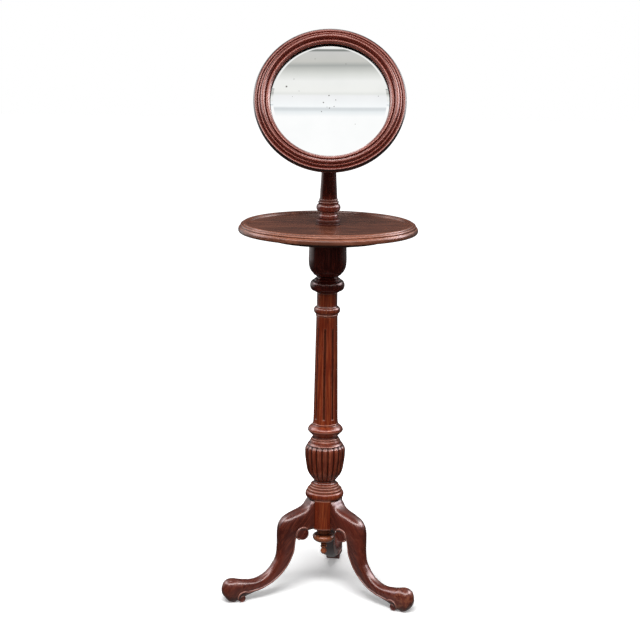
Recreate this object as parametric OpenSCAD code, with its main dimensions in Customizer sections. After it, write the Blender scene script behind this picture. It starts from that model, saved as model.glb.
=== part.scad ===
// Shaving stand: a tilting round mirror and a small dished table on a turned pillar
// with three scroll-footed legs. Millimetres, +Z up, the feet on Z = 0 and the mirror
// facing -Y. The origin lies on the floor, in the middle of the stand's footprint.

/* [Legs] */
// Radius from the pillar's axis to the middle of each toe
toe_r = 252; // [230:1:275]
// Turn of the three legs about the pillar, from one leg straight back
leg_turn = -6.75; // [-20:0.25:20]
// Thickness of a leg where it meets the base block
leg_w = 52; // [46:1:56]
// Thickness of a leg at the ankle
ankle_w = 31; // [26:1:38]
// Width of the rounded toe
toe_w = 45; // [38:1:50]
// Height of the rounded toe
toe_h = 61; // [56:0.5:66]
// Radius of the volute under the knee
volute_r = 19; // [15:0.5:21]
// Radius of the curl behind the toe
curl_r = 10; // [8:0.5:11]
// Radius of the flat pad under the toe
pad_r = 7; // [6:0.5:9]
// Depth of the dovetail that slides into the block
dovetail_depth = 14; // [10:0.5:15]
// Width of the dovetail at its root, against the leg
dovetail_w = 17; // [14:0.5:20]
// Height of the dovetail
dovetail_h = 55; // [40:1:60]
// Play of the dovetail in its housing, on each side
dovetail_fit = 0.15; // [0.05:0.05:0.3]

/* [Base] */
// Radius of the base block
block_r = 46; // [42:0.5:52]
// Height of the underside of the block over the floor
block_z = 174; // [164:1:184]
// Height of the block, up to the underside of its collar
block_h = 78; // [70:1:86]
// Largest radius of the stepped collar on the block
collar_r = 49.3; // [48:0.1:54]
// Height of the stepped collar
collar_h = 44; // [40:1:48]
// Radius of the bun of the drop finial under the block
finial_r = 29.5; // [24:0.5:32]
// Length of the drop finial below the block
finial_len = 78; // [72:1:86]
// Radius of the finial's spigot
finial_spigot_r = 9; // [7:0.5:10]

/* [Pillar] */
// Radius of the narrow joint between the base and the baluster
low_neck_r = 27; // [24:0.5:30]
// Largest radius of the lobed baluster
baluster_r = 51.5; // [47:0.5:56]
// Height of the lobed baluster
baluster_h = 118; // [112:1:126]
// Number of lobes round the baluster
lobe_count = 20; // [16:1:24]
// Depth of the hollows between the lobes
lobe_depth = 4; // [2:0.5:6]
// Height of the fluted shaft, from the baluster to the capital
shaft_h = 376; // [340:1:410]
// Radius of the shaft just above its lower ring
shaft_low_r = 30.9; // [28:0.1:33]
// Radius of the shaft just below its upper ring
shaft_top_r = 27; // [25:0.1:29]
// Radius of the lower ring of the shaft
low_ring_r = 45.2; // [42:0.1:50]
// Radius of the upper ring of the shaft
top_ring_r = 33.5; // [32:0.1:38]
// Radius of the plain neck above the upper ring
top_neck_r = 25.9; // [24:0.1:27]
// Number of flutes on the shaft
flute_count = 8; // [6:1:10]
// Depth of each flute
flute_depth = 2.2; // [1:0.1:3]
// Radius of the gouge that cuts a flute
flute_gouge_r = 3.6; // [3:0.1:5]
// Turn of the first flute from the front
flute_turn = -9; // [-22:1:22]
// Height of the capital, up to the bearer under the table
capital_h = 137; // [126:1:148]
// Radius of the cup of the capital
cup_r = 47.7; // [44:0.1:52]
// Radius of the ring under the cup
cup_ring_r = 43.6; // [41:0.1:48]
// Radius of the spigots that join the turned sections
spigot_r = 13; // [10:0.5:15]
// Length of those spigots
spigot_len = 34; // [26:1:38]
// Play of a glued spigot in its hole
glue_gap = 0.1; // [0.05:0.05:0.2]

/* [Table] */
// Radius of the tabletop
table_r = 225; // [200:1:260]
// Thickness of the tabletop at its moulded edge
table_t = 24.8; // [23:0.1:28]
// Depth of the dish, from the crest of the rim to the field
dish_depth = 6.5; // [5:0.1:8]
// Radius of the bearer disc under the tabletop
bearer_r = 157; // [130:1:180]
// Thickness of the bearer disc
bearer_t = 15.5; // [12:0.5:20]
// Radius of the plinth under the mirror's post
plinth_r = 29.5; // [27:0.1:33]
// Thickness of that plinth
plinth_t = 6; // [4:0.1:8]

/* [Mirror post] */
// Height of the turned post over its plinth
post_h = 262.5; // [235:0.5:290]
// Radius of the ring at the foot of the post
post_foot_r = 30.8; // [28:0.1:34]
// Radius of the large ring above it
post_ring_r = 30.2; // [27:0.1:33]
// Radius of the post just above its rings
post_low_r = 21.7; // [20:0.1:24]
// Radius of the post below its cap
post_top_r = 14.5; // [13:0.1:17]
// Radius of the post's tenon, which turns in the capital
tenon_r = 11; // [9:0.5:12]
// Length of the tenon below the plinth's top
tenon_len = 96; // [80:1:104]
// Radial play of the tenon in the capital
tenon_play = 0.05; // [0.02:0.01:0.08]

/* [Tilt fitting] */
// Height of the tilt axis over the top of the post
pivot_rise = 24; // [22:0.5:28]
// Tilt of the mirror back from upright
tilt = 27; // [0:1:40]
// Radius of the pivot bolt
bolt_r = 3; // [2.5:0.1:3.5]
// Radial play of the pieces that turn on the bolt
bolt_play = 0.05; // [0.02:0.01:0.08]
// Thickness of the tongue on the mirror
tongue_t = 8.2; // [6:0.1:10]
// Thickness of each leather washer
washer_t = 1.2; // [0.8:0.1:2]
// Thickness of each cheek of the fork
cheek_t = 4.5; // [3.5:0.1:6]
// Radius of the rounded ends of the fork and the tongue
knuckle_r = 11; // [9:0.5:12]
// Radius of the round plate on the mirror's back
plate_r = 30; // [26:0.5:36]
// Thickness of that plate
plate_t = 4; // [3:0.1:5]
// Radius of the clamp nut
nut_r = 9; // [7:0.5:11]
// Thickness of the clamp nut
nut_t = 7; // [5:0.5:9]

/* [Mirror] */
// Radius of the mirror's frame at its widest
frame_r = 187.1; // [175:0.1:200]
// Distance from the tilt axis to the plane of the frame's widest circle
frame_n = 50; // [48:0.5:54]
// Width of the frame, from its widest circle in to the edge of the glass that shows
rim_w = 40.3; // [39.5:0.1:46]
// Thickness of the glass
glass_t = 4; // [3:0.1:5]
// Width of the glass held under the frame's lip
glass_hold = 5; // [4:0.1:7]
// Width of the bevel that shows round the edge of the glass
bevel_w = 8; // [5:0.5:12]
// Thickness of the backboard
board_t = 6.5; // [5:0.1:8]
// Depth of the glazing blocks between the glass and the backboard
block_t = 4.5; // [3:0.1:6]

/* [Hidden] */

mahogany = "#6b2f22";
mahogany_dark = "#3c1713";
mahogany_light = "#8a5140";
pine = "#b48a5a";
brass = "#b08a45";
leather = "#4a2c1a";
glass = "#cfd6d8";

// Heights of the joints up the pillar, each worked out from the one below
collar_z = block_z + block_h;
baluster_z = collar_z + collar_h;
shaft_z = baluster_z + baluster_h;
capital_z = shaft_z + shaft_h;
bearer_z = capital_z + capital_h;
table_z = bearer_z + bearer_t;
field_z = table_z + table_t - dish_depth;
post_z = field_z + plinth_t;
post_top_z = post_z + post_h;
pivot_z = post_top_z + pivot_rise;

// The leg's shoulder lies on a flat as wide as the leg
flat_d = sqrt(block_r * block_r - leg_w * leg_w / 4);
leg_angles = [for (a = [-150, -30, 90]) a + leg_turn];
toe_round_r = 27.5;
toe_half_w = toe_w / 2;

// The pillar stands off the origin, so that the footprint lies evenly about it
toe_x = [for (a = leg_angles) toe_r * cos(a)];
toe_y = [for (a = leg_angles) toe_r * sin(a)];
pillar_x = -(min(min(toe_x) - toe_round_r, -table_r) + max(max(toe_x) + toe_round_r, table_r)) / 2;
pillar_y = -(min(min(toe_y) - toe_round_r, -table_r) + max(max(toe_y) + toe_round_r, table_r)) / 2;

round_fn = 96;
seat_gap = 0.2;

// ---- Outlines of turned work, as [radius, height] points ----

// A bead that swells from r by out, between heights z0 and z1
function bead(r, z0, z1, out) =
    [for (a = [-90:22.5:90]) [r + out * cos(a), (z0 + z1) / 2 + (z1 - z0) / 2 * sin(a)]];

// A hollow quarter, from [r0, z0] to [r1, z1], upright at its narrow end
function cove(r0, z0, r1, z1) =
    [for (a = [0:22.5:90]) [r0 + (r1 - r0) * sin(a), z0 + (z1 - z0) * (1 - cos(a))]];

function spline_at(a, b, c, d, t) =
    0.5 * (2 * b + (c - a) * t + (2 * a - 5 * b + 4 * c - d) * t * t
           + (3 * b - a - 3 * c + d) * t * t * t);

// A smooth curve through every point, with steps parts between each two
function curve(p, steps = 3) =
    let (n = len(p) - 1)
    concat([for (i = [0:n - 1], k = [0:steps - 1])
                spline_at(p[max(i - 1, 0)], p[i], p[i + 1], p[min(i + 2, n)], k / steps)],
           [p[n]]);

module turned(outline)
    rotate_extrude($fn = round_fn)
        polygon(concat([[0, outline[0][1]]], outline, [[0, outline[len(outline) - 1][1]]]));

// ---- Places ----

module on_pillar(z = 0) translate([pillar_x, pillar_y, z]) children();

// Space of the tilted mirror: +Z forward out of the glass, +Y up the glass, 0 on the tilt axis
module in_mirror() on_pillar(pivot_z) rotate([90 - tilt, 0, 0]) children();

// A hole or spigot up the axis
module round_bar(r, z0, z1) translate([0, 0, z0]) cylinder(r = r, h = z1 - z0, $fn = 64);

// A countersunk wood screw, head at z = 0 and point towards -Z
module wood_screw(shank_r, head_r, length) {
    head_h = head_r - shank_r;
    point_h = 2 * shank_r;
    rotate_extrude($fn = 32)
        polygon([[0, 0], [head_r, 0], [shank_r, -head_h], [shank_r, point_h - length], [0, -length]]);
}

// A screw, or the hole it seats in: the same countersink round a looser shank
module screw_or_hole(shank_r, head_r, length, hole)
    if (hole) wood_screw(shank_r + seat_gap, head_r, length + 0.6);
    else wood_screw(shank_r, head_r, length);

// Copies spaced evenly round the axis
module ring_of(count, r, turn = 0)
    for (i = [0:count - 1])
        rotate(turn + i * 360 / count) translate([r, 0, 0]) children();

// ---- Legs ----

// Stations down the leg: top point, bottom point, half thickness, and squareness above and below.
// Distances are from the shoulder to the toe's middle, and heights from the floor.
knee_z = block_z + 24;
reach = toe_r - flat_d;
leg_stations = [
    [[0, collar_z - 0.5], [0, block_z], leg_w / 2, 8, 8],
    [[0.030, collar_z - 6], [0.035, block_z - 1], leg_w / 2, 7, 7],
    [[0.064, collar_z - 15.5], [0.075, block_z - 3], leg_w / 2, 6, 6],
    [[0.123, knee_z + 31], [0.121, block_z - 5], leg_w / 2 - 0.5, 5, 5],
    [[0.235, knee_z + 22.5], [0.165, block_z * 0.948], leg_w / 2 - 1.5, 4, 5],
    [[0.340, knee_z + 12.5], [0.200, block_z * 0.908], leg_w / 2 - 2.5, 3.5, 5],
    [[0.394, knee_z + 1.5], [0.212, block_z * 0.862], leg_w / 2 - 4, 3.3, 5],
    [[0.420, knee_z - 12], [0.216, block_z * 0.816], leg_w / 2 - 5, 3.2, 5],
    [[0.429, block_z * 0.977], [0.220, block_z * 0.759], leg_w / 2 - 6, 3.1, 5],
    [[0.429, block_z * 0.833], [0.228, block_z * 0.678], ankle_w / 2 + 3.5, 3, 5],
    [[0.435, block_z * 0.690], [0.256, block_z * 0.592], ankle_w / 2 + 2, 3, 5],
    [[0.453, block_z * 0.586], [0.289, block_z * 0.509], ankle_w / 2 + 1, 3, 5],
    [[0.482, block_z * 0.523], [0.324, block_z * 0.443], ankle_w / 2 + 0.5, 3, 5],
    [[0.526, block_z * 0.445], [0.368, block_z * 0.374], ankle_w / 2, 3, 5],
    [[0.585, toe_h + 4.5], [0.434, block_z * 0.296], ankle_w / 2, 3, 5],
    [[0.670, toe_h - 5], [0.515, block_z * 0.221], ankle_w / 2 + 0.5, 3, 4.5],
    [[0.752, toe_h - 8.5], [0.630, toe_h * 0.426], ankle_w / 2 + 1, 2.9, 4],
    [[0.834, toe_h - 7.5], [0.768, toe_h * 0.295], ankle_w / 2 + 2.5, 2.7, 3.5],
    [[0.911, toe_h - 4.5], [0.850, toe_h * 0.205], toe_half_w - 2, 2.5, 3],
    [[0.985, toe_h], [0.910, toe_h * 0.115], toe_half_w, 2.4, 2.6],
    [[1.052, toe_h - 0.5], [0.949, 3], toe_half_w, 2.4, 2.5],
    [[1.104, toe_h - 7], [0.977, 1.6], toe_half_w - 1.5, 2.3, 2.3],
    [[1.134, toe_h * 0.639], [1, 1], toe_half_w - 4, 2, 2],
    [[1.126, toe_h * 0.393], [1.023, 1.2], toe_half_w - 7.5, 2, 2],
    [[1.084, toe_h * 0.164], [1.042, 1.8], toe_half_w - 13, 2, 2]];
leg_rings = curve([for (s = leg_stations) [each s[0], each s[1], s[2], s[3], s[4]]], 2);
leg_sides = 16;

function sign_pow(v, e) = sign(v) * pow(abs(v), e);

// One ring of the leg, a rounded rectangle between its top and bottom points
function leg_ring(s) =
    let (top = [flat_d + s[0] * reach, s[1]], low = [flat_d + s[2] * reach, s[3]],
         mid = (top + low) / 2, half = (top - low) / 2)
    [for (i = [0:leg_sides - 1])
        let (a = 360 * (i + 0.5) / leg_sides, e = 2 / (a < 180 ? s[5] : s[6]),
             u = sign_pow(sin(a), e), v = sign_pow(cos(a), e))
        [mid[0] + half[0] * u, s[4] * v, mid[1] + half[1] * u]];

// Skin over a stack of rings with equal counts, closed at both ends by fans
module loft(rings) {
    n = len(rings[0]);
    m = len(rings);
    first = middle(rings[0]);
    last = middle(rings[m - 1]);
    points = concat([for (ring = rings) each ring], [first, last]);
    sides = [for (j = [0:m - 2], i = [0:n - 1])
                 let (a = j * n + i, b = j * n + (i + 1) % n)
                 each [[a, b + n, b], [a, a + n, b + n]]];
    ends = [for (i = [0:n - 1])
                let (k = (i + 1) % n)
                each [[i, k, n * m], [n * (m - 1) + k, n * (m - 1) + i, n * m + 1]]];
    polyhedron(points = points, faces = concat(sides, ends));
}

function middle(ring) = [for (k = [0:2]) sum([for (p = ring) p[k]]) / len(ring)];
function sum(v, i = 0) = i < len(v) ? v[i] + sum(v, i + 1) : 0;

// Plan of the dovetail, grown by fit on each side
module dovetail_plan(fit) {
    root = dovetail_w / 2 + fit;
    tip = root + 3.5;
    polygon([[flat_d + 3, -root], [flat_d + 3, root], [flat_d, root], [flat_d - dovetail_depth - fit, tip],
             [flat_d - dovetail_depth - fit, -tip], [flat_d, -root]]);
}

module disc_across(r, half_w, at_r, at_z)
    translate([at_r, half_w, at_z]) rotate([90, 0, 0]) cylinder(r = r, h = 2 * half_w, $fn = 48);

module leg() {
    loft([for (s = leg_rings) leg_ring(s)]);
    translate([0, 0, block_z]) linear_extrude(dovetail_h) dovetail_plan(0);
    disc_across(volute_r, leg_w / 2 - 3, flat_d + 0.143 * reach, block_z + 10.6 - volute_r);
    disc_across(curl_r, ankle_w / 2 + 1.5, flat_d + 0.907 * reach, curl_r + 0.5);
    translate([toe_r - 2, 0, 0]) cylinder(r = pad_r, h = 8, $fn = 48);
}

module leg_left() color(mahogany) on_pillar() rotate(leg_angles[0]) leg();
module leg_right() color(mahogany) on_pillar() rotate(leg_angles[1]) leg();
module leg_back() color(mahogany) on_pillar() rotate(leg_angles[2]) leg();

// ---- Base ----

collar_outline = concat(
    bead(collar_r - 5.5, 0.5, 18.5, 5.5),
    bead(collar_r - 7.5, 18.8, 25, 2.8),
    bead(collar_r - 13, 25.5, 31, 2.6),
    bead(collar_r - 15.8, 31.5, 37, 2.4),
    cove(collar_r - 16.5, 37.5, low_neck_r, collar_h));

module base_block() color(mahogany) on_pillar() difference() {
    union() {
        round_bar(block_r, block_z, collar_z + 1);
        translate([0, 0, collar_z]) turned(collar_outline);
    }
    for (a = leg_angles) rotate(a) {
        translate([flat_d, -leg_w, block_z - 1]) cube([block_r, 2 * leg_w, block_h + 1]);
        translate([0, 0, block_z - 1]) linear_extrude(dovetail_h + 1 + dovetail_fit)
            dovetail_plan(dovetail_fit);
    }
    round_bar(finial_spigot_r + glue_gap, block_z - 1, block_z + spigot_len + 1);
    round_bar(spigot_r + glue_gap, baluster_z - spigot_len - 1, baluster_z + 1);
}

module drop_finial() color(mahogany) on_pillar(block_z - finial_len) turned(concat(
    curve([[0.5, 0], [5.5, 2], [8.3, 8], [6.5, 14.5], [5.6, 17.5]]),
    bead(5.6, 18.5, 23.5, 3.2),
    bead(5.6, 24.5, 29, 2.6),
    curve([[6.5, 30], [9, 32.5], [finial_r - 14, 34.5]]),
    curve([[finial_r - 13, 35], [finial_r - 6.5, 37.8], [finial_r - 1.8, 43], [finial_r, 49.5]]),
    curve([[finial_r - 0.4, 50.5], [finial_r - 4, 54.5], [finial_r - 11, 57]]),
    [[finial_r - 11, finial_len], [finial_spigot_r, finial_len],
     [finial_spigot_r, finial_len + spigot_len]]));

// ---- Pillar ----

// Radius over the lobes at each height, from the bottom of the baluster
lobe_outline = curve([[low_neck_r + 1, 1.5], [low_neck_r + 5.6, 8], [low_neck_r + 13.7, 18.6],
    [baluster_r - 8, 24], [baluster_r - 4.8, 35], [baluster_r - 0.8, 62],
    [baluster_r, 78], [baluster_r - 0.6, 87], [baluster_r - 3.4, 93.5]], 2);
lobe_steps = 6;

// Depth of the hollows at each height: none at the ends, full between them
function hollow_at(z) = lobe_depth * min(1, max(0, (z - 1) / 18), max(0, (93.5 - z) / 7));

function lobe_ring(p) =
    [for (i = [0:lobe_count * lobe_steps - 1])
        let (a = 360 * i / (lobe_count * lobe_steps), across = 2 * (i % lobe_steps) / lobe_steps - 1,
             r = p[0] - hollow_at(p[1]) * (1 - sqrt(1 - across * across)))
        [r * cos(a), r * sin(a), p[1]]];

module lobed_baluster() color(mahogany) on_pillar(baluster_z) difference() {
    union() {
        turned([[spigot_r, -spigot_len], [spigot_r, 0], [low_neck_r, 0], [low_neck_r + 1.2, 2]]);
        loft([for (p = lobe_outline) lobe_ring(p)]);
        turned(concat(
            [[baluster_r - 10, 88]],
            curve([[baluster_r - 3.4, 93], [baluster_r - 7, 98.5], [baluster_r - 9, 101.5]]),
            curve([[baluster_r - 11, 102.5], [baluster_r - 12.5, 107], [baluster_r - 14, 110.5]]),
            bead(baluster_r - 18.3, 111, 115.5, 2.6),
            [[shaft_low_r - 2.6, baluster_h - 1.5], [shaft_low_r - 2.6, baluster_h]]));
    }
    round_bar(spigot_r + glue_gap, baluster_h - spigot_len - 1, baluster_h + 1);
}

shaft_run = shaft_h - 120;
shaft_slope = (shaft_low_r - shaft_top_r) / (shaft_h - 128);
flute_low = 47;
flute_top = shaft_h - 90;

module flute() {
    r_low = shaft_low_r - shaft_slope * (flute_low - 66);
    translate([r_low - flute_depth + flute_gouge_r, 0, flute_low + flute_gouge_r])
        rotate([0, -atan(shaft_slope), 0]) {
            cylinder(r = flute_gouge_r, h = flute_top - flute_low - 2 * flute_gouge_r, $fn = 32);
            sphere(r = flute_gouge_r, $fn = 32);
            translate([0, 0, flute_top - flute_low - 2 * flute_gouge_r])
                sphere(r = flute_gouge_r, $fn = 32);
        }
}

module fluted_shaft() color(mahogany) on_pillar(shaft_z) difference() {
    turned(concat(
        [[spigot_r, -spigot_len], [spigot_r, 0], [shaft_low_r - 2.6, 0], [shaft_low_r - 2.6, 1.5]],
        curve([[shaft_low_r - 1, 1.6], [shaft_low_r + 2, 4], [low_ring_r - 7.6, 8.6], [low_ring_r - 2.4, 14],
               [low_ring_r, 17.6]]),
        curve([[low_ring_r, 18.8], [low_ring_r - 1.4, 23], [low_ring_r - 5.4, 28], [shaft_low_r + 3.4, 31.8]]),
        [[shaft_low_r + 2.4, 33], [shaft_low_r + 2.2, 36]],
        curve([[shaft_low_r + 1.1, 37], [shaft_low_r + 0.6, 42], [shaft_low_r + 0.1, 54]]),
        [[shaft_low_r, 66], [shaft_top_r, shaft_h - 62]],
        bead(shaft_top_r - 0.3, shaft_h - 60.5, shaft_h - 55, 1.8),
        bead(top_ring_r - 6, shaft_h - 54, shaft_h - 37, 6),
        [[top_neck_r + 0.4, shaft_h - 35], [top_neck_r, shaft_h - 32], [top_neck_r, shaft_h]]));
    ring_of(flute_count, 0, flute_turn - 90) flute();
    round_bar(spigot_r + glue_gap, shaft_h - spigot_len - 1, shaft_h + 1);
}

module capital() color(mahogany_dark) on_pillar(capital_z) difference() {
    turned(concat(
        [[spigot_r, -spigot_len], [spigot_r, 0], [top_neck_r + 0.5, 0]],
        bead(top_neck_r + 1.2, 1, 4.2, 3.8),
        bead(cup_ring_r - 9, 4.8, 31.2, 9),
        [[cup_ring_r - 8.6, 32], [cup_ring_r - 12.6, 35.6]],
        bead(top_neck_r + 1, 36, 38.6, 1.5),
        curve([[top_neck_r + 1, 39.2], [top_neck_r + 1.4, 41], [cup_r - 14, 45.4]]),
        [[cup_r - 12.6, 46.4]],
        curve([[cup_r - 12, 48], [cup_r - 5.9, 55.2], [cup_r - 1.5, 66], [cup_r, 82],
               [cup_r - 0.4, 100], [cup_r - 1.2, capital_h]])));
    round_bar(tenon_r + tenon_play, tenon_floor - capital_z, capital_h + 1);
    translate([0, 0, -capital_z]) capital_screw_ring(true);
}

// ---- Table ----

screw_r = 2.2;
screw_head_r = 4.4;
capital_screw_r = cup_r - 17.7;
capital_screw_len = bearer_t + 26.5;
bearer_screw_r = bearer_r - 32;
bearer_round = bearer_t * 0.65;
bearer_screw_len = bearer_t + 8;
tenon_floor = post_z - tenon_len - 2;
tenon_hole_r = tenon_r + 1;

module capital_screw_ring(hole) translate([0, 0, table_z]) ring_of(4, capital_screw_r, 45)
    screw_or_hole(screw_r, screw_head_r, capital_screw_len, hole);

module capital_screws() color(brass) on_pillar() capital_screw_ring(false);

module bearer_screw_ring(hole) translate([0, 0, bearer_z]) ring_of(6, bearer_screw_r, 30)
    rotate([180, 0, 0]) screw_or_hole(screw_r, screw_head_r, bearer_screw_len, hole);

module bearer_screws() color(brass) on_pillar() bearer_screw_ring(false);

module table_bearer() color(mahogany_dark) on_pillar() difference() {
    translate([0, 0, bearer_z]) turned(concat(
        [[bearer_r - bearer_round, 0]],
        [for (a = [-90:18:0])
            [bearer_r - bearer_round + bearer_round * cos(a), bearer_round + bearer_round * sin(a)]],
        [[bearer_r, bearer_t]]));
    round_bar(tenon_hole_r, bearer_z - 1, table_z + 1);
    capital_screw_ring(true);
    bearer_screw_ring(true);
}

field_h = table_t - dish_depth;

module tabletop() color(mahogany_light) on_pillar() difference() {
    translate([0, 0, table_z]) turned(concat(
        curve([[table_r - 11, 0], [table_r - 3.5, 1], [table_r - 0.6, 3.5], [table_r, 7.5],
               [table_r - 1, 11.5], [table_r - 3.5, 15]]),
        curve([[table_r - 5, 15.4], [table_r - 5.2, 18], [table_r - 6.5, 20.5], [table_r - 9, 21.6]]),
        curve([[table_r - 10.2, 21.6], [table_r - 12, table_t - 0.8], [table_r - 15.5, table_t],
               [table_r - 19, table_t - 0.8], [table_r - 22.5, field_h + 2.5],
               [table_r - 24.5, field_h]])));
    round_bar(tenon_hole_r, table_z - 1, table_z + table_t + 1);
    round_bar(plinth_r + glue_gap, field_z - plinth_seat, table_z + table_t + 1);
    bearer_screw_ring(true);
}

// The plinth is let into the table by a shallow seat
plinth_seat = 1;

module post_plinth() color(mahogany) on_pillar(field_z) difference() {
    turned([[plinth_r, -plinth_seat], [plinth_r, plinth_t - 1], [plinth_r - 1, plinth_t]]);
    round_bar(tenon_hole_r, -plinth_seat - 1, plinth_t + 1);
}

// ---- Mirror post ----

fork_flange_t = 4;
fork_flange_r = 13;
fork_shank_r = 4.5;
fork_shank_len = 32;

module mirror_post() color(mahogany) on_pillar(post_z) difference() {
    turned(concat(
        [[tenon_r, -tenon_len], [tenon_r, 0], [post_foot_r - 1, 0], [post_foot_r, 1.2]],
        curve([[post_foot_r, 6], [post_foot_r - 1, 8.8], [post_foot_r - 4, 10]]),
        bead(post_foot_r - 10.3, 10.6, 22.5, 4.2),
        [[post_low_r - 0.8, 23.5]],
        cove(post_low_r - 1, 24.5, post_low_r + 0.8, 27.5),
        bead(post_ring_r - 8, 28, 48.5, 8),
        bead(post_low_r + 1.5, 49, 54.5, 2.6),
        bead(post_low_r + 0.3, 55.5, 60, 1.5),
        curve([[post_low_r, 61.5], [post_low_r - 0.9, 81], [post_low_r - 3.1, 122],
               [post_top_r + 1.2, post_h - 58], [post_top_r, post_h - 26]]),
        bead(post_top_r - 0.2, post_h - 24, post_h - 18, 2.6),
        cove(post_top_r - 0.4, post_h - 17, post_top_r + 2, post_h - 10),
        [[post_top_r + 2, post_h - 4], [post_top_r + 0.6, post_h - 1.5], [fork_flange_r, post_h]]));
    round_bar(fork_shank_r + glue_gap, post_h - fork_shank_len - 1, post_h + 1);
}

// ---- Tilt fitting ----

gap_half = tongue_t / 2 + washer_t + 0.1;
fork_half = gap_half + cheek_t;
bolt_head_r = bolt_r + 3;
bolt_head_t = 2.5;
bolt_end = 2;

module along_x(x0) translate([x0, 0, 0]) rotate([0, 90, 0]) children();

module cheek(x0) {
    along_x(x0) cylinder(r = knuckle_r, h = cheek_t, $fn = 64);
    translate([x0, -knuckle_r, fork_flange_t - pivot_rise - 0.5])
        cube([cheek_t, 2 * knuckle_r, pivot_rise - fork_flange_t + 0.5]);
}

module tilt_fork() color(brass) on_pillar(pivot_z) difference() {
    union() {
        round_bar(fork_flange_r, -pivot_rise, fork_flange_t - pivot_rise);
        round_bar(fork_shank_r, -pivot_rise - fork_shank_len, -pivot_rise);
        cheek(gap_half);
        cheek(-fork_half);
    }
    along_x(-fork_half - 1) cylinder(r = bolt_r + 2 * bolt_play, h = 2 * fork_half + 2, $fn = 48);
}

module pivot_bolt() color(brass) on_pillar(pivot_z) difference() {
    union() {
        along_x(-fork_half - 0.1) cylinder(r = bolt_r, h = 2 * fork_half + nut_t + bolt_end, $fn = 48);
        along_x(-fork_half - bolt_head_t) cylinder(r = bolt_head_r, h = bolt_head_t, $fn = 48);
    }
    translate([-fork_half - bolt_head_t - 1, -bolt_head_r, -0.6]) cube([2, 2 * bolt_head_r, 1.2]);
}

module leather_washers() color(leather) on_pillar(pivot_z)
    for (x = [gap_half - washer_t, -gap_half])
        along_x(x) difference() {
            cylinder(r = knuckle_r - 1, h = washer_t, $fn = 48);
            translate([0, 0, -1]) cylinder(r = bolt_r + 2 * bolt_play, h = washer_t + 2, $fn = 48);
        }

knurl_count = 24;

module clamp_nut() color(brass) on_pillar(pivot_z) along_x(fork_half + 0.1) difference() {
    cylinder(r = nut_r, h = nut_t, $fn = 64);
    translate([0, 0, -1]) cylinder(r = bolt_r + bolt_play, h = nut_t + 2, $fn = 48);
    ring_of(knurl_count, nut_r) rotate(45) translate([-0.4, -0.4, 1.2]) cube([0.8, 0.8, nut_t - 2.4]);
}

// ---- Mirror, in the space of the tilted glass ----

// Depth of the glass's face behind the frame's widest circle, and width of the backboard's ledge
glass_back = 3.5;
board_ledge = 14;

sight_r = frame_r - rim_w;
board_front_n = frame_n - glass_back - glass_t - block_t;
board_back_n = board_front_n - board_t;
frame_back_n = board_back_n - 0.5;
glass_back_n = board_front_n + block_t;
glass_r = sight_r + glass_hold;
board_r = glass_r + board_ledge;
board_screw_r = glass_r + board_ledge / 2;
board_screw_len = board_t + 8;
plate_screw_r = plate_r - 8;
plate_screw_len = plate_t + board_t - 1.5;

module tilt_tongue() color(brass) in_mirror() difference() {
    plate_n = board_back_n - plate_t;
    union() {
        along_x(-tongue_t / 2) cylinder(r = knuckle_r - 0.5, h = tongue_t, $fn = 64);
        translate([-tongue_t / 2, -knuckle_r + 0.5, 0])
            cube([tongue_t, 2 * knuckle_r - 1, plate_n + 0.5]);
        round_bar(plate_r, plate_n, board_back_n);
    }
    along_x(-tongue_t / 2 - 1) cylinder(r = bolt_r + bolt_play, h = tongue_t + 2, $fn = 48);
    plate_screw_ring(true);
}

module plate_screw_ring(hole) translate([0, 0, board_back_n - plate_t])
    ring_of(4, plate_screw_r, 45) rotate([180, 0, 0])
        screw_or_hole(screw_r, screw_head_r, plate_screw_len, hole);

module tongue_screws() color(brass) in_mirror() plate_screw_ring(false);

module board_screw_ring(hole) translate([0, 0, board_back_n]) ring_of(6, board_screw_r, 0)
    rotate([180, 0, 0]) screw_or_hole(screw_r - 0.6, screw_head_r - 1.2, board_screw_len, hole);

module backboard_screws() color(brass) in_mirror() board_screw_ring(false);

module backboard() color(pine) in_mirror() difference() {
    round_bar(board_r, board_back_n, board_front_n);
    board_screw_ring(true);
    plate_screw_ring(true);
}

module glazing_blocks() color(pine) in_mirror() ring_of(8, glass_r - 11, 22.5)
    translate([0, -10, board_front_n]) cube([8, 20, block_t]);

module mirror_glass() color(glass) in_mirror() translate([0, 0, glass_back_n])
    turned([[glass_r, 0], [glass_r, glass_t - 1.6], [sight_r - bevel_w, glass_t]]);

// Front of the frame, from its outer edge in to the lip, as [radius, distance ahead of the widest circle]
frame_front = concat(
    curve([[frame_r, 0], [frame_r - 1, 2.6], [frame_r - 4, 4.6], [frame_r - 7.2, 4.6],
           [frame_r - 10.6, 2.8]]),
    curve([[frame_r - 11.6, 3], [frame_r - 12, 6], [frame_r - 14.2, 8.2], [frame_r - 16.6, 7.2]]),
    curve([[frame_r - 17.2, 7.2], [frame_r - 18.4, 10.6], [frame_r - 22, 13], [frame_r - 25.6, 11.6],
           [frame_r - 28.4, 8], [frame_r - 29.6, 5.4]]),
    curve([[frame_r - 30.4, 5.4], [frame_r - 31.6, 7.4], [frame_r - 34.2, 8], [frame_r - 36.6, 6.8],
           [sight_r + 2.6, 4.6]]),
    [[sight_r, 2]]);
frame_wall_r = frame_r - 8.5;

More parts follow.
